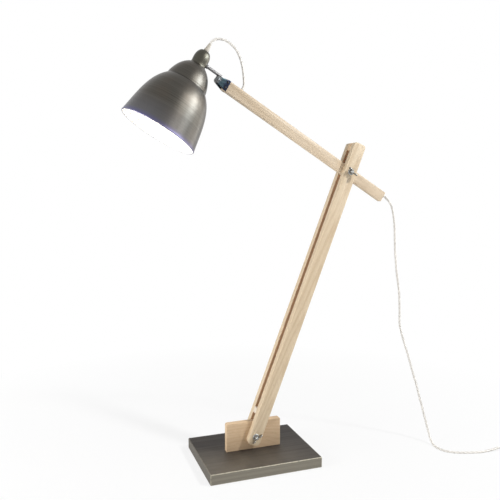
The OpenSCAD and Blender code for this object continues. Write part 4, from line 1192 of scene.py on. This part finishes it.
strap, skin, place = new_material("woven_strap")
weave_place = scaled(place, (1400.0, 1400.0, 1400.0))
weave = out("ShaderNodeTexVoronoi", {"Vector": weave_place, "Scale": 1.0})
between = ranged(weave, 0.1, 0.8)
feed(skin, {
    "Base Color": mixed(between, (0.05, 0.05, 0.052), (0.012, 0.012, 0.013)),
    "Roughness": 0.85,
    "Normal": raised(weave, 0.5),
})
tie = eased("coil_tie", 0.0003, strap, segments=2)
plug = eased("plug_body", 0.0012, white_plastic)
pin_r = 2.0
pin_profile = [(0.0, -6.0), (pin_r, -6.0), (pin_r, 17.0)] + arc((0.0, 17.0), pin_r, 0.0, 90.0, 8)[1:]
pin_way = rotated("X", -90.0)
pin_meshes = []
for side in (-0.0093, 0.0093):
    pin_place = Matrix.Translation((0.8164 + side, -0.0478, 0.007)) @ pin_way
    pin_meshes.append(turned("plug_pin", pin_profile, pin_place, bright, segments=32))
pins = show("plug_pins_turned", joined("plug_pins_turned", pin_meshes, bright))
stands_for(pins, "plug_pins")


# Studio
# A white floor and backdrop, a small key light high in front on the right and a panel on the left.
# A strip, a halo and a panel on the right only show in the metal. The camera stands where the
# picture was taken from.


def seen_or_mirrored(tree):
    """1 for a ray from the camera, or from a shiny or clear surface."""
    rays = add(tree, "ShaderNodeLightPath").outputs
    mirrored = calc("MAXIMUM", rays["Is Glossy Ray"], rays["Is Transmission Ray"])
    return calc("MAXIMUM", rays["Is Camera Ray"], mirrored)


floor_reach = 30.0
floor_level = -0.0003
corners = ((-1, -1), (1, -1), (1, 1), (-1, 1))
floor_points = [(x * floor_reach, y * floor_reach, floor_level) for x, y in corners]
floor_mesh = bpy.data.meshes.new("floor")
floor_mesh.from_pydata(floor_points, [], [(0, 1, 2, 3)])
floor = show("floor", floor_mesh)
pale_floor, skin, place = new_material("pale_floor")
tree = skin.id_data
away = measured("LENGTH", place)
faded = times(ranged(away, 0.35, 1.2, 0.80, 1.0), seen_or_mirrored(tree))
white = add(tree, "ShaderNodeEmission", {"Color": (1.0, 1.0, 1.0), "Strength": 1.0}).outputs[0]
feed(skin, {"Base Color": (0.88, 0.88, 0.875), "Roughness": 0.9, "Specular IOR Level": 0.0})
surface = out("ShaderNodeMixShader", {0: faded, 1: skin.outputs[0], 2: white})
feed(tree.nodes["Material Output"], {"Surface": surface})
floor_mesh.materials.append(pale_floor)

world = bpy.data.worlds.new("studio")
scene.world = world
world.use_nodes = True
tree = world.node_tree
tree.nodes.clear()
fill_light = add(tree, "ShaderNodeBackground", {"Color": (0.97, 0.98, 1.0), "Strength": 0.34}).outputs[0]
backdrop = add(tree, "ShaderNodeBackground", {"Color": (1.0, 1.0, 1.0), "Strength": 1.0}).outputs[0]
sky = out("ShaderNodeMixShader", {0: seen_or_mirrored(tree), 1: fill_light, 2: backdrop})
add(tree, "ShaderNodeOutputWorld", {"Surface": sky})


def soft_light(name, place, target, wide, high, power, in_diffuse=True, in_sheen=True, tint=(1.0, 1.0, 1.0)):
    """A soft panel, unseen by the camera, that lights the lamp, shows in its sheen, or both."""
    lamp = bpy.data.lights.new(name, "AREA")
    lamp.shape = "RECTANGLE"
    lamp.size = wide
    lamp.size_y = high
    lamp.energy = power
    lamp.color = tint
    light = bpy.data.objects.new(name, lamp)
    scene.collection.objects.link(light)
    light.location = place
    light.rotation_euler = (Vector(target) - Vector(place)).to_track_quat("-Z", "Y").to_euler()
    light.visible_camera = False
    light.visible_diffuse = in_diffuse
    light.visible_glossy = in_sheen


shade_spot = (-0.20, 0.0, 0.95)
rim_spot = (-0.20, 0.0, 0.85)
soft_light("key", (1.99, -1.59, 2.59), (0.05, 0.0, 0.60), 0.28, 0.28, 81.0, in_sheen=False)
soft_light("strip", (1.58, -0.70, 1.50), shade_spot, 0.85, 0.75, 51.0, False, tint=(0.90, 0.96, 1.0))
soft_light("halo", (1.15, -1.30, 1.85), shade_spot, 0.9, 0.8, 18.0, False, tint=(1.0, 0.98, 0.94))
soft_light("right_panel", (1.60, 0.30, 0.85), rim_spot, 1.3, 1.2, 17.0, False, tint=(1.0, 0.98, 0.93))
soft_light("left_panel", (-2.10, -0.28, 0.75), (0.10, 0.0, 0.55), 1.4, 1.4, 37.0)

camera = bpy.data.objects.new("camera", bpy.data.cameras.new("camera"))
scene.collection.objects.link(camera)
scene.camera = camera
camera.data.sensor_width = 36.0
camera.data.lens = 42.596
camera.location = (-0.5149, -1.44329, 0.71606)
aim = Vector((-0.00797, 0.0, 0.5619)) - camera.location
camera.rotation_euler = aim.to_track_quat("-Z", "Y").to_euler()
